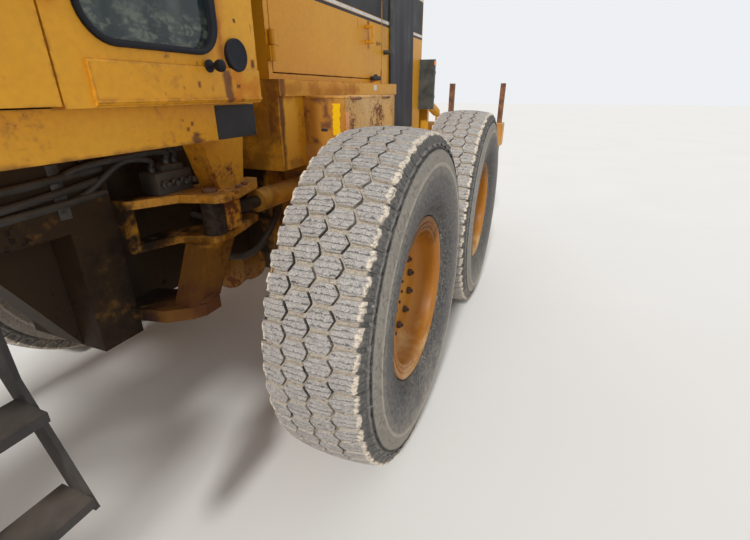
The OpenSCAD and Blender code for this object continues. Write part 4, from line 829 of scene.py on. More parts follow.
def tyre_shape(tyre, centre, side, seed):
    """A carcass of revolution and its tread blocks. Carcass: the side profile, and the crown less the groove
    depth, turned round the axle. Blocks: rings of an outline (across, round) at falling radii, where the
    angle is the length round over the tyre's radius."""
    shape = Shape()
    rng = np.random.default_rng(seed)
    half, turns = tyre.tread_width / 2, 2 * np.pi
    # Where the outer blocks' walls end on the side, and how far their line waves
    foot_across, foot_radius, scallop = 0.1765, 0.616, 0.008
    pitch = turns * TYRE_RADIUS / tyre.pitches
    u = np.linspace(-0.148, 0.148, 13)
    crown = np.column_stack([crown_radius(u, tyre) - tyre.groove_depth, u])
    wall = np.array(SIDE_PROFILE)
    profile = np.vstack([wall[::-1] * (1, -1), crown, wall])
    n = tyre.pitches * 4
    t = np.arange(n) * turns / n
    r = profile[:, :1] + 0 * t
    # The band under the shoulder is notched once a pitch
    band = ((np.abs(profile[:, 0] - 0.621) < 0.012) & (np.abs(profile[:, 1]) > 0.16))[:, None]
    w = profile[:, 1:] * (1 - 0.02 * band * (np.arange(n) % 4 == 1))
    local = np.stack([r * np.cos(t), w + 0 * t, r * np.sin(t)], -1)
    local[..., 1] *= side
    faces = grid_faces(len(profile), n, close_rows=True, close_columns=True)
    shape.add(local.reshape(-1, 3) + centre, [faces if side < 0 else faces[:, ::-1]], radius=r.ravel(),
              face=0.0, lip=0.0, along=0.0)
    depth = tyre.groove_depth + 0.002
    rings = np.arange(16)
    for across, offset, outline, edge in block_outlines(tyre, pitch, half):
        k = np.arange(tyre.pitches)[:, None]
        rough = rng.normal(0, 0.0008, (tyre.pitches, 16, 2)) + rng.normal(0, 0.0006, (tyre.pitches, 1, 2))
        rough[:, edge] *= 2
        eased = 0.88 * outline + 0.06 * (np.roll(outline, 1, 0) + np.roll(outline, -1, 0))
        levels = []
        for shrink, fall, face in ((0.95, 0.0002, 1.0), (0.99, 0.0022, 0.3), (1.03, depth, 0.0)):
            p = eased * shrink + rough
            uu = across + p[..., 0]
            rr = crown_radius(uu, tyre) - fall
            if face == 0:
                # The outer wall drops to a scalloped line on the side
                uu = np.where(edge, np.sign(across) * foot_across, uu)
                rr = np.where(edge, foot_radius + scallop * (p[..., 1] / pitch * 2) ** 2, rr)
            levels.append((uu, p[..., 1], rr, face, np.where(edge, 1.0 * (face > 0), 0.0)))
        top = (np.full((tyre.pitches, 1), across), np.zeros((tyre.pitches, 1)),
               np.full((tyre.pitches, 1), crown_radius(across, tyre) + 0.0006), 1.0, np.zeros((1, 1)))
        angle0 = (k + offset) * turns / tyre.pitches
        parts, values = [], {"radius": [], "face": [], "lip": [], "along": []}
        for uu, vv, rr, face, lip in [top] + levels:
            angle = angle0 + vv / TYRE_RADIUS
            parts.append(np.stack([rr * np.cos(angle), side * uu + 0 * angle, rr * np.sin(angle)], -1))
            for key, value in (("radius", rr), ("face", face), ("lip", lip), ("along", vv)):
                values[key].append(np.broadcast_to(value, angle.shape))
        points = np.concatenate(parts, 1)
        values = {key: np.concatenate(v, 1).ravel() for key, v in values.items()}
        nxt = np.roll(rings, -1)
        fan = np.stack([0 * rings, rings + 1, nxt + 1], -1)
        quads = np.concatenate([np.stack([rings + 1 + m * 16, rings + 17 + m * 16, nxt + 17 + m * 16,
                                          nxt + 1 + m * 16], -1) for m in (0, 1)])
        base = (np.arange(tyre.pitches) * points.shape[1])[:, None, None]
        fan, quads = (fan + base).reshape(-1, 3), (quads + base).reshape(-1, 4)
        # Anticlockwise in (across, around) faces outwards where side is -1
        if side > 0:
            fan, quads = fan[:, ::-1], quads[:, ::-1]
        shape.add(points.reshape(-1, 3) + centre, [fan, quads], **values)
    return shape


def wheels():
    """Each wheel's name, side and middle, whose height is the tyre's radius."""
    for where in ("middle", "rear", "front"):
        for label, side in SIDES:
            name = f"{where}_{label}"
            low, high = (np.array(corner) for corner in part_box("tyre_" + name))
            yield name, side, np.append(((low + high) / 2)[:2], TYRE_RADIUS)


class GRADER_OT_tyres(bpy.types.Operator):
    """Builds the six tyres with their worn tread blocks"""

    bl_idname = "grader.tyres"
    bl_label = "Tyres"

    def execute(self, context):
        tyre = context.scene.grader_tyre
        for seed, (name, side, centre) in enumerate(wheels(), 40):
            shape = tyre_shape(tyre, centre, side, seed)
            piece = shape.build("tread_" + name, "wheel_" + name, "tyre", ["tyre"], 32)
            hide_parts("tyre_" + name)
        return {"FINISHED"}


RIM_FRONT = [(0.0, 0.046), (0.052, 0.046), (0.056, 0.044), (0.060, 0.038), (0.066, 0.036), (0.112, 0.036),
             (0.118, 0.041), (0.206, 0.041), (0.214, 0.036), (0.246, 0.038), (0.262, 0.047), (0.273, 0.062),
             (0.2795, 0.084), (0.2815, 0.120), (0.2835, 0.1345), (0.2860, 0.1395),
             (0.2905, 0.1415), (0.2950, 0.1395), (0.2975, 0.1360), (0.3005, 0.1362), (0.3030, 0.1420),
             (0.3075, 0.1455), (0.3130, 0.1450), (0.3160, 0.1405), (0.3190, 0.1402), (0.3235, 0.1450),
             (0.3300, 0.1478), (0.3375, 0.1478), (0.3425, 0.1445), (0.3430, 0.1380), (0.3400, 0.1320),
             (0.3050, 0.1296)]


class GRADER_OT_rims(bpy.types.Operator):
    """Builds the six rims with their lock rings, hubs and rusty nuts"""

    bl_idname = "grader.rims"
    bl_label = "Rims"

    def execute(self, context):
        back = [(0.3050, -0.1296), (0.3400, -0.1320), (0.3430, -0.1380), (0.3425, -0.1445), (0.3375, -0.1475),
                (0.3270, -0.1470), (0.3050, -0.1430), (0.2860, -0.1420), (0.2850, -0.1300), (0.2850, -0.002),
                (0.2800, 0.010), (0.2650, 0.018), (0.1120, 0.020)]
        for name, side, centre in wheels():
            low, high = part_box("rim_" + name)
            hub_in = -(centre[1] * side - min(abs(low.y), abs(high.y)))
            profile = [(0.0, hub_in), (0.110, hub_in)] + back[::-1] + RIM_FRONT[::-1]
            axes = np.array([[1, 0, 0], [0, 0, -1], [0, 1, 0]], float) * (1, side, 1)
            shape = Shape()
            shape.lathe(profile, 96, centre, axes)
            a = np.arange(12) * np.pi / 6 + 0.337
            for ring, reach, wide, stud in ((0.172, 0.041, 0.0165, 0.010), (0.092, 0.036, 0.007, 0.0)):
                nuts = centre + np.stack([ring * np.cos(a), np.full(12, side * reach), ring * np.sin(a)], -1)
                shape.hexagons(nuts, wide, wide, axes, 1, stud)
            # Valve stem through the lock ring
            shape.lathe([(0.0, 0.0), (0.006, 0.0), (0.006, 0.055), (0.009, 0.056), (0.009, 0.070),
                         (0.0, 0.072)], 12,
                        centre + np.array([0.262 * np.cos(1.1), side * 0.045, 0.262 * np.sin(1.1)]), axes, 1)
            piece = shape.build("rim_detail_" + name, "wheel_" + name, "yellow_paint",
                                ["rim_paint", "dark_rust"], 35)
            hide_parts("rim_" + name)
        return {"FINISHED"}


# Cab


def gasket(name, body, centre, width, height, radius, axes, wide):
    """A rubber strip round a window: a lip over the wall and a web that lines the opening, as one
    section carried along the opening's outline."""
    shape, deep = Shape(), 0.024
    axes = np.asarray(axes, float)
    path = np.asarray(centre) + rounded(width, height, radius, 8) @ axes[:2]
    # The section's first number grows into the window
    section = np.array([(-wide * 0.12, -0.001), (0.0015, -0.001), (0.0015, -deep), (0.0075, -deep),
                        (wide * 0.42, 0.001), (wide * 0.39, 0.006), (wide * 0.27, 0.0095),
                        (wide * 0.09, 0.0105), (-wide * 0.06, 0.009), (-wide * 0.11, 0.005)])
    shape.tube(path, section * (np.sign(np.linalg.det(axes)), 1), axes[2], closed=True)
    if np.linalg.det(axes) < 0:
        shape.faces = [f[:, ::-1] for f in shape.faces]
    return shape.build(name, body, "black_steel", ["gasket"], 50)


class GRADER_OT_cab(bpy.types.Operator):
    """Adds the cab's gaskets, pressed ledges, cap, knob, blank plate, wipers and mirror glass"""

    bl_idname = "grader.cab"
    bl_label = "Cab trim"

    def execute(self, context):
        wide = context.scene.grader_trim.gasket_width
        for label, side in SIDES:
            wall = wall_axes(side)
            gasket("gasket_side_" + label, "front_frame", (-0.6125, side * CAB_Y, 2.245), 0.41, 1.35, 0.08,
                   wall, wide)
            gasket("gasket_door_" + label, "cab_door_" + label, (0.0625, side * CAB_Y, 2.245), 0.65, 1.35,
                   0.08, wall, wide)
            gasket("gasket_low_" + label, "front_frame", (0.6125, side * 0.325, 1.825), 0.47, 0.51, 0.05,
                   AHEAD, wide)
            # Pressed ledge under the side window
            ledge = Shape()
            ledge.stack([(-0.992, 1.447), (-0.405, 1.447), (-0.405, 1.536), (-0.992, 1.536)],
                        [(0.004, 0.0), (0.002, 0.006), (-0.002, 0.009)], (0, side * CAB_Y, 0), wall)
            ledge.stack([(-0.992, 1.450), (-0.405, 1.450), (-0.405, 1.456), (-0.992, 1.456)],
                        [(0, 0.008), (-0.001, 0.013)], (0, side * CAB_Y, 0), wall)
            ledge.build("ledge_" + label, "front_frame", "yellow_paint", ["cab_paint"], 30)
            cap = Shape()
            cap.lathe([(0.0, 0.0), (0.0455, 0.0), (0.0465, 0.008), (0.0455, 0.0125), (0.0430, 0.0140),
                       (0.0405, 0.0132), (0.020, 0.0128), (0.0, 0.0128)],
                      40, (-0.889, side * CAB_Y, 1.575), wall)
            cap.build("cap_" + label, "front_frame", "black_steel", ["gasket"], 50)
            knob = Shape()
            knob.lathe([(0.0, 0.0), (0.017, 0.0), (0.017, 0.004), (0.008, 0.006), (0.0075, 0.022),
                        (0.013, 0.028), (0.0165, 0.037), (0.0155, 0.047), (0.009, 0.053), (0.0, 0.0545)], 24,
                       (-0.763, side * 0.659, 1.540), wall)
            knob.build("knob_" + label, "front_frame", "black_steel", ["gasket"], 40)
            plate = Shape()
            plate.stack(rounded(0.194, 0.103, 0.004, 3), [(0, -0.001), (0, 0.0015), (-0.0008, 0.0024)],
                        (-0.922, side * PLATFORM_Y, 1.382), wall)
            plate.hexagons([(-0.922 + x, side * 0.602, 1.382 + z) for x in (-0.086, 0.086) for z in (-0.040,
                                                                                                     0.040)],
                           0.004, 0.0025, wall)
            plate.build("plate_" + label, "front_frame", "black_steel", ["black_steel"], 30)
            glass = Shape()
            glass.stack(rounded(0.140, 0.290, 0.02, 4), [(0, 0.0), (-0.001, 0.002)],
                        (0.5555, side * 0.860, 2.535), [[0, 1, 0], [0, 0, 1], [-1, 0, 0]])
            glass.build("mirror_glass_" + label, "front_frame", "black_steel", ["rod"], 30)
        gasket("gasket_rear", "front_frame", (-0.9975, 0, 2.275), 1.04, 1.29, 0.08, BEHIND, wide)
        lean = np.array([-0.130, 0, 0.930]) / math.hypot(0.13, 0.93)
        front = np.cross([0, 1, 0], lean)
        pane = [[0, 1, 0], lean, front]
        gasket("gasket_windscreen", "front_frame", (0.5482, 0, 2.580), 1.12, 0.7876, 0.05, pane, wide)
        wipers = Shape()
        for y in (-0.30, 0.30):
            foot = np.array([0.6125 - 0.02, y, 2.150])
            base, tip = foot + front * 0.02, foot + lean * 0.42 + front * 0.035 + (0, -0.16, 0)
            wipers.tube(smooth_path([foot, base, (base + tip) / 2 + front * 0.006, tip], 5), circle(0.006, 8),
                        (0, 1, 0.2))
            blade = [tip - unit(tip - base) * 0.2 - front * 0.012,
                     tip + unit(tip - base) * 0.18 - front * 0.012]
            wipers.tube(blade, rounded(0.012, 0.02, 0.004, 2), front)
            wipers.lathe([(0.0, -0.03), (0.02, -0.03), (0.02, 0.02), (0.012, 0.026), (0.0, 0.026)],
                         16, foot, pane)
        wipers.build("wipers", "front_frame", "black_steel", ["black_steel"], 40)
        return {"FINISHED"}


def cushion(name, low, high, crown_axis, rise):
    """A crowned pad: a superellipsoid, whose cosines and sines are raised to a small power so that it
    nearly fills its box, swollen by cloth pressure."""
    a, b, power, inset = 40, 20, 0.35, 0.010
    theta, phi = np.meshgrid(np.linspace(0, 2 * np.pi, a, endpoint=False),
                             np.linspace(-np.pi / 2, np.pi / 2, b + 1)[1:-1], indexing="xy")

    def raised(v):
        return np.sign(v) * np.abs(v) ** power

    local = np.stack([raised(np.cos(phi)) * raised(np.cos(theta)),
                      raised(np.cos(phi)) * raised(np.sin(theta)), raised(np.sin(phi))], -1)
    rows = local.shape[0]
    local = np.vstack([local.reshape(-1, 3), [[0, 0, -1], [0, 0, 1]]])
    ring = np.arange(a)
    last = (rows - 1) * a
    n = len(local)
    faces = [grid_faces(rows, a, close_columns=True),
             np.stack([np.roll(ring, -1), ring, np.full(a, n - 2)], -1),
             np.stack([ring + last, np.roll(ring, -1) + last, np.full(a, n - 1)], -1)]
    low, high = np.asarray(low, float), np.asarray(high, float)
    centre, half = (low + high) / 2, (high - low) / 2 - inset
    shape = Shape()
    shape.add(centre + local * half, faces)
    piece = shape.build(name, "front_frame", "seat", ["cloth"], 180)
    swell(piece, 0.012)
    mesh = piece.data
    co = np.zeros(len(mesh.vertices) * 3)
    mesh.vertices.foreach_get("co", co)
    co = co.reshape(-1, 3)
    # Sewn channels across the face, and a crown towards it
    i, j = (k for k in range(3) if k != crown_axis)
    share_of = (co - centre) / half
    dome = np.clip(1 - share_of[:, i] ** 2, 0, 1) * np.clip(1 - share_of[:, j] ** 2, 0, 1)
    on_face = np.clip(share_of[:, crown_axis], 0, 1)
    channel = np.exp(-((np.abs(share_of[:, 1]) - 0.62) / 0.05) ** 2) * 0.006
    co[:, crown_axis] += on_face * (rise * dome - channel)
    mesh.vertices.foreach_set("co", co.ravel())
    mesh.update()
    return piece


def swell(piece, most):
    """Swells a pad with cloth pressure for 20 frames; no point moves more than most."""
    scene = bpy.context.scene
    remesh = piece.modifiers.new("Remesh", "REMESH")
    remesh.mode, remesh.voxel_size = "VOXEL", 0.012
    graph = bpy.context.evaluated_depsgraph_get()
    start = bpy.data.meshes.new_from_object(piece.evaluated_get(graph))
    piece.modifiers.clear()
    old, piece.data = piece.data, start
    bpy.data.meshes.remove(old)
    cloth = piece.modifiers.new("Cloth", "CLOTH")
    cloth.settings.use_pressure = True
    cloth.settings.uniform_pressure_force = 4
    cloth.settings.effector_weights.gravity = 0
    rest = np.zeros(len(start.vertices) * 3)
    start.vertices.foreach_get("co", rest)
    for f in range(1, 21):
        scene.frame_set(f)
    graph = bpy.context.evaluated_depsgraph_get()
    moved = np.zeros(len(rest))
    piece.evaluated_get(graph).data.vertices.foreach_get("co", moved)
    piece.modifiers.clear()
    scene.frame_set(1)
    step = (moved - rest).reshape(-1, 3)
    length = np.linalg.norm(step, axis=1, keepdims=True)
    step *= np.minimum(1, most / np.maximum(length, 1e-9))
    start.vertices.foreach_set("co", (rest.reshape(-1, 3) + step).ravel())
    start.polygons.foreach_set("use_smooth", np.ones(len(start.polygons), bool))
    start.update()


class GRADER_OT_inside(bpy.types.Operator):
    """Builds the seat, steering wheel, console and levers inside the cab"""

    bl_idname = "grader.inside"
    bl_label = "Cab inside"

    def execute(self, context):
        hard = Shape()
        # Seat pedestal, base pan, back shell and armrests
        hard.box((-0.60, -0.16, 1.44), (-0.26, 0.16, 1.62), 0.01)
        hard.box((-0.6175, -0.18, 1.62), (-0.2375, 0.18, 1.70), 0.012)
        hard.box((-0.6675, -0.235, 1.695), (-0.1875, 0.235, 1.725), 0.012)
        hard.box((-0.757, -0.215, 1.80), (-0.725, 0.215, 2.36), 0.012)
        for y in (-0.285, 0.285):
            hard.box((-0.60, y - 0.025, 1.90), (-0.30, y + 0.025, 1.94), 0.012)
            hard.box((-0.66, y - 0.012, 1.86), (-0.60, y + 0.012, 1.93), 0.006)
        # Console with a sloping instrument face
        hard.stack([(0.2425, 1.44), (0.4025, 1.44), (0.4025, 1.84), (0.335, 1.90), (0.2425, 1.88)],
                   [(-0.006, -0.13), (0, -0.124), (0, 0.124), (-0.006, 0.13)], (0, 0, 0),
                   [[1, 0, 0], [0, 0, 1], [0, -1, 0]])
        # Steering column and its boot
        axis = unit([-math.sin(math.radians(25)), 0, math.cos(math.radians(25))])
        foot = np.array([0.2625, 0, 1.90])
        across = np.cross([0, 1, 0], axis)
        axes = np.array([across, [0, 1, 0], axis])
        axes = axes if np.linalg.det(axes) > 0 else axes * [[1], [-1], [1]]
        hard.lathe([(0.0, -0.05), (0.055, -0.05), (0.05, 0.03), (0.036, 0.05), (0.034, 0.20), (0.045, 0.225),
                    (0.045, 0.25), (0.0, 0.255)], 28, foot, axes)
        # Wheel: a ring of round section with three spokes
        ring = foot + np.column_stack([circle(0.195, 64), np.full(64, 0.247)]) @ axes
        hard.tube(ring, circle(0.014, 12), axis, closed=True)
        for a in (0.5, 2.6, 4.7):
            tip = foot + np.array([0.19 * math.cos(a), 0.19 * math.sin(a), 0.245]) @ axes
            hub = foot + np.array([0.03 * math.cos(a), 0.03 * math.sin(a), 0.235]) @ axes
            hard.tube([hub, (hub + tip) / 2, tip], rounded(0.030, 0.010, 0.004, 2), axis)
        # Lever banks with knobs
        for side in (1, -1):
            hard.box((0.1425, side * 0.215, 1.44), (0.2225, side * 0.385, 2.02), 0.012)
            for k in range(4):
                y = side * (0.235 + k * 0.044)
                root = np.array([0.185, y, 2.01])
                head = np.array([0.165 - 0.012 * (k % 2), y, 2.115])
                hard.tube([root, (root + head) / 2, head], circle(0.0055, 8), (0, 1, 0), finish=1)
                hard.lathe([(0.0, -0.012), (0.008, -0.012), (0.0135, 0.0), (0.014, 0.012), (0.009, 0.022),
                            (0.0, 0.024)], 14, head, finish=1)
        hard.box((0.05, -0.40, 1.44), (0.40, -0.14, 1.446), 0.002)
        for y in (-0.2, 0.2):
            hard.box((0.34, y - 0.045, 1.50), (0.36, y + 0.045, 1.60), 0.006, 1)
            hard.box((0.36, y - 0.01, 1.44), (0.375, y + 0.01, 1.58), 0.003, 1)
        piece = hard.build("cab_controls", "front_frame", "seat", ["seat", "black_steel"], 35)
        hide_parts("cab_interior")
        pads = [cushion("seat_cushion", (-0.6775, -0.25, 1.70), (-0.1775, 0.25, 1.832), 2, 0.012),
                cushion("seat_back", (-0.742, -0.235, 1.84), (-0.632, 0.235, 2.42), 0, 0.012)]
        for p in pads:
            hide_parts("cab_interior")
        return {"FINISHED"}


# Hood and body trim


# Steps of a thin film on a face
FILM = [(0, -0.0004), (0, 0.0006), (-0.0003, 0.001)]


def ragged_strip(rng, heights, steps, jag, edges, loose=(1, 1)):
    """Outline of an upright strip whose two edges wander by up to jag; loose says which of them do."""
    z = np.linspace(*heights, steps)
    off = rng.uniform(-jag, jag, (2, steps)) * np.reshape(loose, (2, 1))
    one, other = (np.column_stack([at + by, z]) for at, by in zip(edges, off))
    return np.concatenate([one, other[::-1]])


class GRADER_OT_hood(bpy.types.Operator):
    """Adds the hood's bands, the boxes' lids and strips, and the tanks' tags and filler caps"""

    bl_idname = "grader.hood"
    bl_label = "Hood and box trim"

    def execute(self, context):
        trim = context.scene.grader_trim
        low, width = trim.band_low, trim.band_width
        for label, side in SIDES:
            wall = wall_axes(side)

            def band(name, body, start, end):
                shape = Shape()
                for z0, z1, finish in ((low - 0.017, low - 0.003, 0), (low, low + 0.016, 1),
                                       (low + 0.019, low + width, 0),
                                       (low + width + 0.004, low + width + 0.018, 1)):
                    shape.stack([(start, z0), (end, z0), (end, z1), (start, z1)],
                                [(0, -0.0004), (0, 0.0006), (-0.0003, 0.0009)],
                                (0, side * HOOD_Y, 0), wall, finish)
                shape.build(name, body, "black_steel", ["black_steel", "white"], 30)

            band("band_door_" + label, "engine_door_" + label, -2.606, -1.377)
            band("band_hood_" + label, "rear_frame", -3.535, -2.622)
            # Box: ragged reflective strips, and a thin black film as the slot, which paints the shade inside
            # its opening
            box = Shape()
            front = [[0, side, 0], [0, 0, 1], [1, 0, 0]]
            rng = np.random.default_rng(5)
            strip = ragged_strip(rng, (1.290, 1.424), 15, 0.0035, (0.704, 0.668))
            box.stack(strip, FILM, (-1.4875, 0, 0), front, 0)
            strip = ragged_strip(rng, (1.312, 1.388), 9, 0.004, (-1.492, -1.528), (0, 1))
            box.stack(strip, FILM, (0, side * 0.730, 0), wall, 1)
            box.stack(rounded(0.034, 0.013, 0.005, 3), [(0, -0.0005), (0, 0.0008), (-0.0005, 0.001)],
                      (-1.4875, side * 0.623, 1.312), front, 2)
            box.build("box_strips_" + label, "rear_frame", "rusty_box",
                      ["yellow_strip", "orange_strip", "black_steel"], 30)
            lid = Shape()
            lid.box((-2.100, side * 0.528, 1.444), (-1.4855, side * 0.733, 1.456), 0.003)
            for x in (-1.98, -1.60):
                lid.tube([(x + end, side * 0.7345, 1.4445) for end in (-0.05, 0.05)], circle(0.006, 10),
                         (0, 0, 1), finish=1)
            lid.build("box_lid_" + label, "rear_frame", "rusty_box", ["rusty_box", "rusty_iron"], 30)
            tag = Shape()
            tag.stack(rounded(0.042, 0.030, 0.003, 3), [(0, -0.0005), (0, 0.0008), (-0.0004, 0.0011)],
                      (-2.327, side * 0.532, 1.494), wall)
            tag.build("tank_tag_" + label, "rear_frame", "black_steel", ["white"], 30)
            cap = Shape()
            cap.lathe([(0.0, 0.0), (0.030, 0.0), (0.034, 0.004), (0.034, 0.018), (0.030, 0.024),
                       (0.012, 0.026), (0.012, 0.034), (0.0, 0.036)], 28, (-2.4375, side * 0.490, 1.538))
            cap.build("filler_cap_" + label, "rear_frame", "black_steel", ["black_steel"], 40)
        return {"FINISHED"}


class GRADER_OT_curtains(bpy.types.Operator):
    """Hangs the two rubber curtains behind the engine doors"""

    bl_idname = "grader.curtains"
    bl_label = "Curtains"

    def execute(self, context):
        wave = context.scene.grader_trim.curtain_wave
        low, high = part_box("side_curtains")
        x0, x1, z0, z1 = low.x, high.x, low.z, high.z
        s, d = np.meshgrid(np.linspace(0, 1, 57), np.linspace(0, 1, 61), indexing="xy")
        # Folds grow with the depth d below the rail: sums of sines of the place s across
        folds = 0.5 + 0.34 * np.sin(2 * np.pi * (1.9 * s + 0.25 * d * d)) + 0.16 * np.sin(
            2 * np.pi * (4.3 * s - 0.5 * d) + 1.2) * np.sin(2.2 * d + 0.4)
        out = 0.0035 + wave * d ** 0.8 * folds
        edge = 0.010 * np.sin(2 * np.pi * 2.3 * s + 0.6) + 0.006 * np.sin(2 * np.pi * 5.1 * s)
        z = z1 + (z0 - z1) * d + 0.6 * d * edge
        for label, side in SIDES:
            x = x1 + (x0 - x1) * s + 0.006 * np.sin(4 * d + 1) * d
            sheet = np.stack([x, side * (0.461 + out), z], -1)
            faces = grid_faces(61, 57)
            shape = Shape()
            shape.add(sheet, [faces if side > 0 else faces[:, ::-1]])
            piece = shape.build("curtain_" + label, "rear_frame", "curtain", ["curtain"], 180)
            wall = piece.modifiers.new("Solidify", "SOLIDIFY")
            wall.thickness, wall.offset = 0.004, 0
            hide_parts("side_curtains")
            rail = Shape()
            rail.box((x0 - 0.004, side * 0.4602, z1 - 0.030), (x1 + 0.004, side * 0.4672, z1 + 0.004), 0.002)
            rail.hexagons([(x0 + 0.04 + k * 0.11, side * 0.467, z1 - 0.013) for k in range(5)], 0.009, 0.006,
                          wall_axes(side))
            rail.build("curtain_rail_" + label, "rear_frame", "black_steel", ["black_steel"], 30)
        return {"FINISHED"}


class GRADER_OT_lamps(bpy.types.Operator):
    """Adds lenses and rims to the lamps"""

    bl_idname = "grader.lamps"
    bl_label = "Lamps"

    def execute(self, context):
        front = Shape()
        lens = [(0.0, 0.010), (0.03, 0.009), (0.055, 0.006), (0.067, 0.001), (0.071, -0.002),
                (0.0, -0.002)][::-1]
        ring = [(0.068, -0.002), (0.080, -0.002), (0.081, 0.006), (0.076, 0.010), (0.069, 0.007)]
        for side in (1, -1):
            where = (4.680 - DESIGN_X, side * 0.310, 1.680)
            front.lathe(lens, 40, where, AHEAD, 0)
            front.lathe(ring, 40, where, AHEAD, 1, closed=True)
            for x, axes in ((1.870 - DESIGN_X, AHEAD), (0.130 - DESIGN_X, BEHIND)):
                front.stack(rounded(0.140, 0.070, 0.012, 4), [(0, -0.001), (0, 0.004), (-0.006, 0.007)],
                            (x, side * 0.480, 3.105), axes, 0)
        front.build("lamp_lenses", "front_frame", "lamp_case", ["lens", "black_steel"], 35)
        rear = Shape()
        for side in (1, -1):
            for z, finish in ((1.430, 0), (1.620, 1)):
                where = (-2.350 - DESIGN_X, side * 0.532, z)
                rear.lathe([(r * 0.6, h) for r, h in lens], 32, where, BEHIND, finish)
                rear.lathe([(r * 0.6, h) for r, h in ring], 32, where, BEHIND, 2, closed=True)
            rear.stack(rounded(0.05, 0.035, 0.006, 3), [(0, -0.001), (0, 0.003), (-0.003, 0.005)],
                       (-3.52, side * 0.590, 1.690), wall_axes(side), 1)
        rear.build("rear_lenses", "rear_frame", "lamp_case", ["red_lens", "orange_strip", "black_steel"], 35)
        return {"FINISHED"}


class GRADER_OT_hydraulics(bpy.types.Operator):
    """Adds the hoses and valve block under the cab, and the brake drum and hose behind the hitch"""

    bl_idname = "grader.hydraulics"
    bl_label = "Hydraulics"

    def execute(self, context):
        front = Shape()
        for side in (1, -1):
            # Valve block on the upper plate: body, end caps, spools and fittings
            x, y = 0.350 - DESIGN_X, side * 0.270
            front.box((x - 0.085, y - 0.045, 1.1245), (x + 0.085, y + 0.045, 1.205), 0.006)
            front.box((x - 0.060, y - 0.035, 1.204), (x + 0.045, y + 0.035, 1.228), 0.005)
            for k in range(4):
                where = (x - 0.060 + k * 0.040, y + side * 0.043, 1.165)
                front.lathe([(0.0, 0.0), (0.014, 0.0), (0.014, 0.018), (0.010, 0.020), (0.010, 0.034),
                             (0.0, 0.036)], 14, where, wall_axes(side), 1)
            fittings = [(x - 0.045, y, 1.227), (x, y + side * 0.01, 1.227), (x + 0.060, y, 1.204)]
            ends = [(0.560, 0.215, 1.300), (0.640, 0.225, 1.250), (0.600, 0.215, 1.180)]
            for (a, b, c), (u, v, w), bow in zip(fittings, ends, (0.05, 0.02, 0.05)):
                front.lathe([(0.0, -0.003), (0.013, -0.003), (0.013, 0.016), (0.010, 0.018), (0.010, 0.026),
                             (0.0, 0.026)], 14, (a, b, c), finish=1)
                path = smooth_path([(a, b, c + 0.015), (a + 0.01, b + side * 0.008, c + 0.045),
                                    ((a + u - DESIGN_X) / 2, side * (v + 0.04), min(max(c, w) + bow, 1.312)),
                                    (u - DESIGN_X, side * v, w),
                                    (u + 0.06 - DESIGN_X, side * 0.203, w - 0.03)], 8)
                front.tube(path, circle(0.0105, 12), (0, 0.1, 1), finish=2)
            # Hoses along the side of the frame, clipped to it
            for z, sag in ((1.240, 0.030), (1.205, 0.045), (1.160, 0.025)):
                heights = z - sag * np.abs(np.sin(np.linspace(0, 3, 6)))
                path = np.column_stack([np.linspace(0.56, 1.60, 6) - DESIGN_X, np.full(6, side * 0.2135),
                                        heights])
                front.tube(smooth_path(path, 6), circle(0.0125, 12), (0, 0, 1), finish=2)
            for clip in (0.70, 1.05, 1.40):
                front.box((clip - 1.2575, side * 0.199, 1.10), (clip - 1.2175, side * 0.205, 1.27), 0.002, 1)
        front.build("hydraulics_front", "front_frame", "black_steel", ["grey_iron", "fitting", "hose"], 40)
        rear = Shape()
        drum = [(0.0, -0.006), (0.150, -0.006), (0.150, 0.018), (0.132, 0.026), (0.132, 0.150),
                (0.140, 0.158),
                (0.140, 0.172), (0.118, 0.186), (0.060, 0.196), (0.055, 0.240), (0.034, 0.246),
                (0.034, 0.280), (0.0, 0.280)]
        rear.lathe(drum, 40, (-0.330 - DESIGN_X, 0, 0.580), AHEAD, 3)
        a = np.arange(10) * np.pi / 5
        ring = np.stack([np.full(10, -1.5500), 0.141 * np.cos(a), 0.580 + 0.141 * np.sin(a)], -1)
        rear.hexagons(ring, 0.008, 0.008, AHEAD, 1)
        for side in (1, -1):
            for radius, points in (
                    (0.017, [(-0.34, 0.285, 0.985), (-0.27, 0.305, 0.885), (-0.13, 0.300, 0.765),
                             (-0.02, 0.265, 0.725), (0.09, 0.190, 0.770), (0.150, 0.110, 0.800)]),
                    (0.013, [(-0.34, 0.270, 1.02), (-0.22, 0.280, 0.965), (-0.05, 0.235, 0.900),
                             (0.06, 0.165, 0.930), (0.120, 0.110, 0.960)])):
                path = smooth_path(points, 8) * (1, side, 1) - (DESIGN_X, 0, 0)
                rear.tube(path, circle(radius, 12), (0, 0, 1), finish=2)
        rear.build("hydraulics_rear", "rear_frame", "black_steel",
                   ["grey_iron", "fitting", "hose", "drum"], 40)
        return {"FINISHED"}


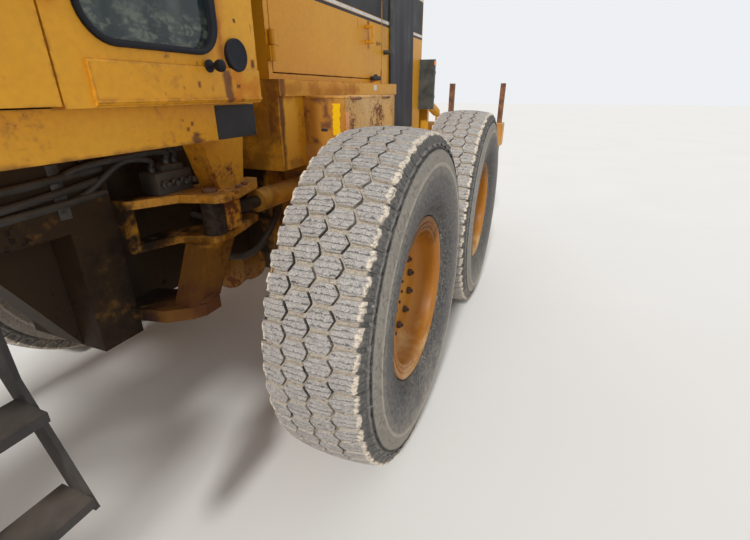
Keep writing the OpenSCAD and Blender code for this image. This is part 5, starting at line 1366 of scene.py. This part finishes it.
class GRADER_OT_fasteners(bpy.types.Operator):
    """Adds pin caps and bolts to the hitch, and bolts to the blade"""

    bl_idname = "grader.fasteners"
    bl_label = "Fasteners"

    def execute(self, context):
        up = np.eye(3)
        hitch = Shape()
        for side in (1, -1):
            pin = np.array([0.300 - DESIGN_X, side * 0.420, 1.125])
            hitch.lathe([(0.0, 0.0), (0.030, 0.0), (0.030, 0.008), (0.026, 0.011), (0.0, 0.011)], 28, pin)
            # Cap screws on the upper plate's tip and the wing, and the wing's rounded boss
            tip = np.array([0.150 - DESIGN_X, side * 0.462, 1.125])
            hitch.hexagons([tip, tip + (0.05, side * 0.012, 0)], 0.014, 0.012, up)
            wing = np.array([0.405 - DESIGN_X, side * 0.380, 0.715])
            hitch.lathe([(0.0, 0.0), (0.062, 0.0), (0.066, 0.004), (0.066, 0.012), (0.058, 0.020),
                         (0.0, 0.020)],
                        32, wing, finish=1)
            bolts = wing + np.column_stack([circle(0.048, 6), np.full(6, 0.019)])
            hitch.hexagons(bolts, 0.009, 0.007, up)
        hitch.build("hitch_pins", "front_frame", "yellow_paint", ["rusty_iron", "frame_paint"], 35)
        blade = Shape()
        n = 22
        y = np.linspace(-1.74, 1.74, n)
        blade.hexagons(np.stack([np.full(n, 1.440), y, np.full(n, 0.110)], -1), 0.014, 0.012, BEHIND)
        blade.build("blade_bolts", "moldboard", "rusty_iron", ["rusty_iron"], 35)
        return {"FINISHED"}


# Stage


CAMERA = (0.2740, 1.5900, 1.4740)
YAW, PITCH, LENS = 3.52861828, -0.406228691, 19.937
SUN_AHEAD, SUN_POWER, SUN_WIDTH = (-0.80, -0.09, -0.60), 2.2, math.radians(6)


class GRADER_OT_stage(bpy.types.Operator):
    """Makes the camera, the pale floor, the soft lights and the background"""

    bl_idname = "grader.stage"
    bl_label = "Stage"

    def execute(self, context):
        scene = context.scene
        camera = bpy.data.cameras.new("camera")
        camera.lens, camera.sensor_width, camera.clip_start, camera.clip_end = LENS, 36, 0.02, 300
        view = bpy.data.objects.new("camera", camera)
        view.location = CAMERA
        ahead = Vector((math.cos(YAW) * math.cos(PITCH), math.sin(YAW) * math.cos(PITCH), math.sin(PITCH)))
        view.rotation_mode = "QUATERNION"
        view.rotation_quaternion = ahead.to_track_quat("-Z", "Y")
        scene.collection.objects.link(view)
        scene.camera = view
        floor, t, s, where = new_material("Pale floor")
        t.feed(s, {"Base Color": t.mix(t.noise(where, 0.7, 3), (0.74, 0.72, 0.68), (0.80, 0.78, 0.74)),
                   "Roughness": 0.95})
        ground = bpy.data.meshes.new("floor")
        reach = 60
        ground.from_pydata([(x * reach, y * reach, 0) for x, y in ((-1, -1), (1, -1), (1, 1), (-1, 1))], [],
                           [(0, 1, 2, 3)])
        ground.materials.append(floor)
        slab = bpy.data.objects.new("floor", ground)
        scene.collection.objects.link(slab)
        sun = bpy.data.lights.new("sun", "SUN")
        sun.energy, sun.angle = SUN_POWER, SUN_WIDTH
        lamp = bpy.data.objects.new("sun", sun)
        lamp.rotation_mode = "QUATERNION"
        lamp.rotation_quaternion = Vector(SUN_AHEAD).to_track_quat("-Z", "Y")
        scene.collection.objects.link(lamp)
        world = bpy.data.worlds.new("world")
        world.use_nodes = True
        world.node_tree.nodes.clear()
        t = Tree(world.node_tree)
        path = t.node("ShaderNodeLightPath").outputs
        seen = t.most(path["Is Camera Ray"], t.most(path["Is Glossy Ray"], path["Is Transmission Ray"]))
        sky = t.node("ShaderNodeBackground", {"Color": (0.95, 0.97, 1.0), "Strength": 0.72}).outputs[0]
        backdrop = t.node("ShaderNodeBackground", {"Color": (0.90, 0.92, 0.95), "Strength": 0.95}).outputs[0]
        both = t.node("ShaderNodeMixShader", {0: seen, 1: sky, 2: backdrop}).outputs[0]
        t.node("ShaderNodeOutputWorld", {"Surface": both})
        scene.world = world
        scene.view_settings.view_transform = "Standard"
        return {"FINISHED"}


class GRADER_PT_panel(bpy.types.Panel):
    """Lists the sizes, colours and steps that make the grader"""

    bl_idname = "GRADER_PT_panel"
    bl_label = "Motor grader"
    bl_space_type = "VIEW_3D"
    bl_region_type = "UI"
    bl_category = "Grader"

    def draw(self, context):
        for group in (context.scene.grader_tyre, context.scene.grader_paint, context.scene.grader_trim):
            box = self.layout.box()
            for key in group.bl_rna.properties.keys():
                if key not in ("name", "rna_type"):
                    box.prop(group, key)
        for step in STEPS:
            self.layout.operator(step.bl_idname)


STEPS = (GRADER_OT_stage, GRADER_OT_finishes, GRADER_OT_tyres, GRADER_OT_rims, GRADER_OT_cab,
         GRADER_OT_inside,
         GRADER_OT_hood, GRADER_OT_curtains, GRADER_OT_lamps, GRADER_OT_hydraulics, GRADER_OT_fasteners)
GROUPS = (("grader_tyre", GRADER_PG_tyre), ("grader_paint", GRADER_PG_paint), ("grader_trim", GRADER_PG_trim))


def register():
    for _, group in GROUPS:
        bpy.utils.register_class(group)
    for step in STEPS + (GRADER_PT_panel,):
        bpy.utils.register_class(step)
    for key, group in GROUPS:
        setattr(bpy.types.Scene, key, bpy.props.PointerProperty(type=group))


def unregister():
    for key, _ in GROUPS:
        delattr(bpy.types.Scene, key)
    for step in (GRADER_PT_panel,) + STEPS[::-1]:
        bpy.utils.unregister_class(step)
    for _, group in GROUPS:
        bpy.utils.unregister_class(group)


def main():
    register()
    bpy.ops.grader.stage()
    bpy.ops.grader.finishes()
    bpy.ops.grader.tyres()
    bpy.ops.grader.rims()
    bpy.ops.grader.cab()
    bpy.ops.grader.inside()
    bpy.ops.grader.hood()
    bpy.ops.grader.curtains()
    bpy.ops.grader.lamps()
    bpy.ops.grader.hydraulics()
    bpy.ops.grader.fasteners()


if __name__ == "__main__":
    main()
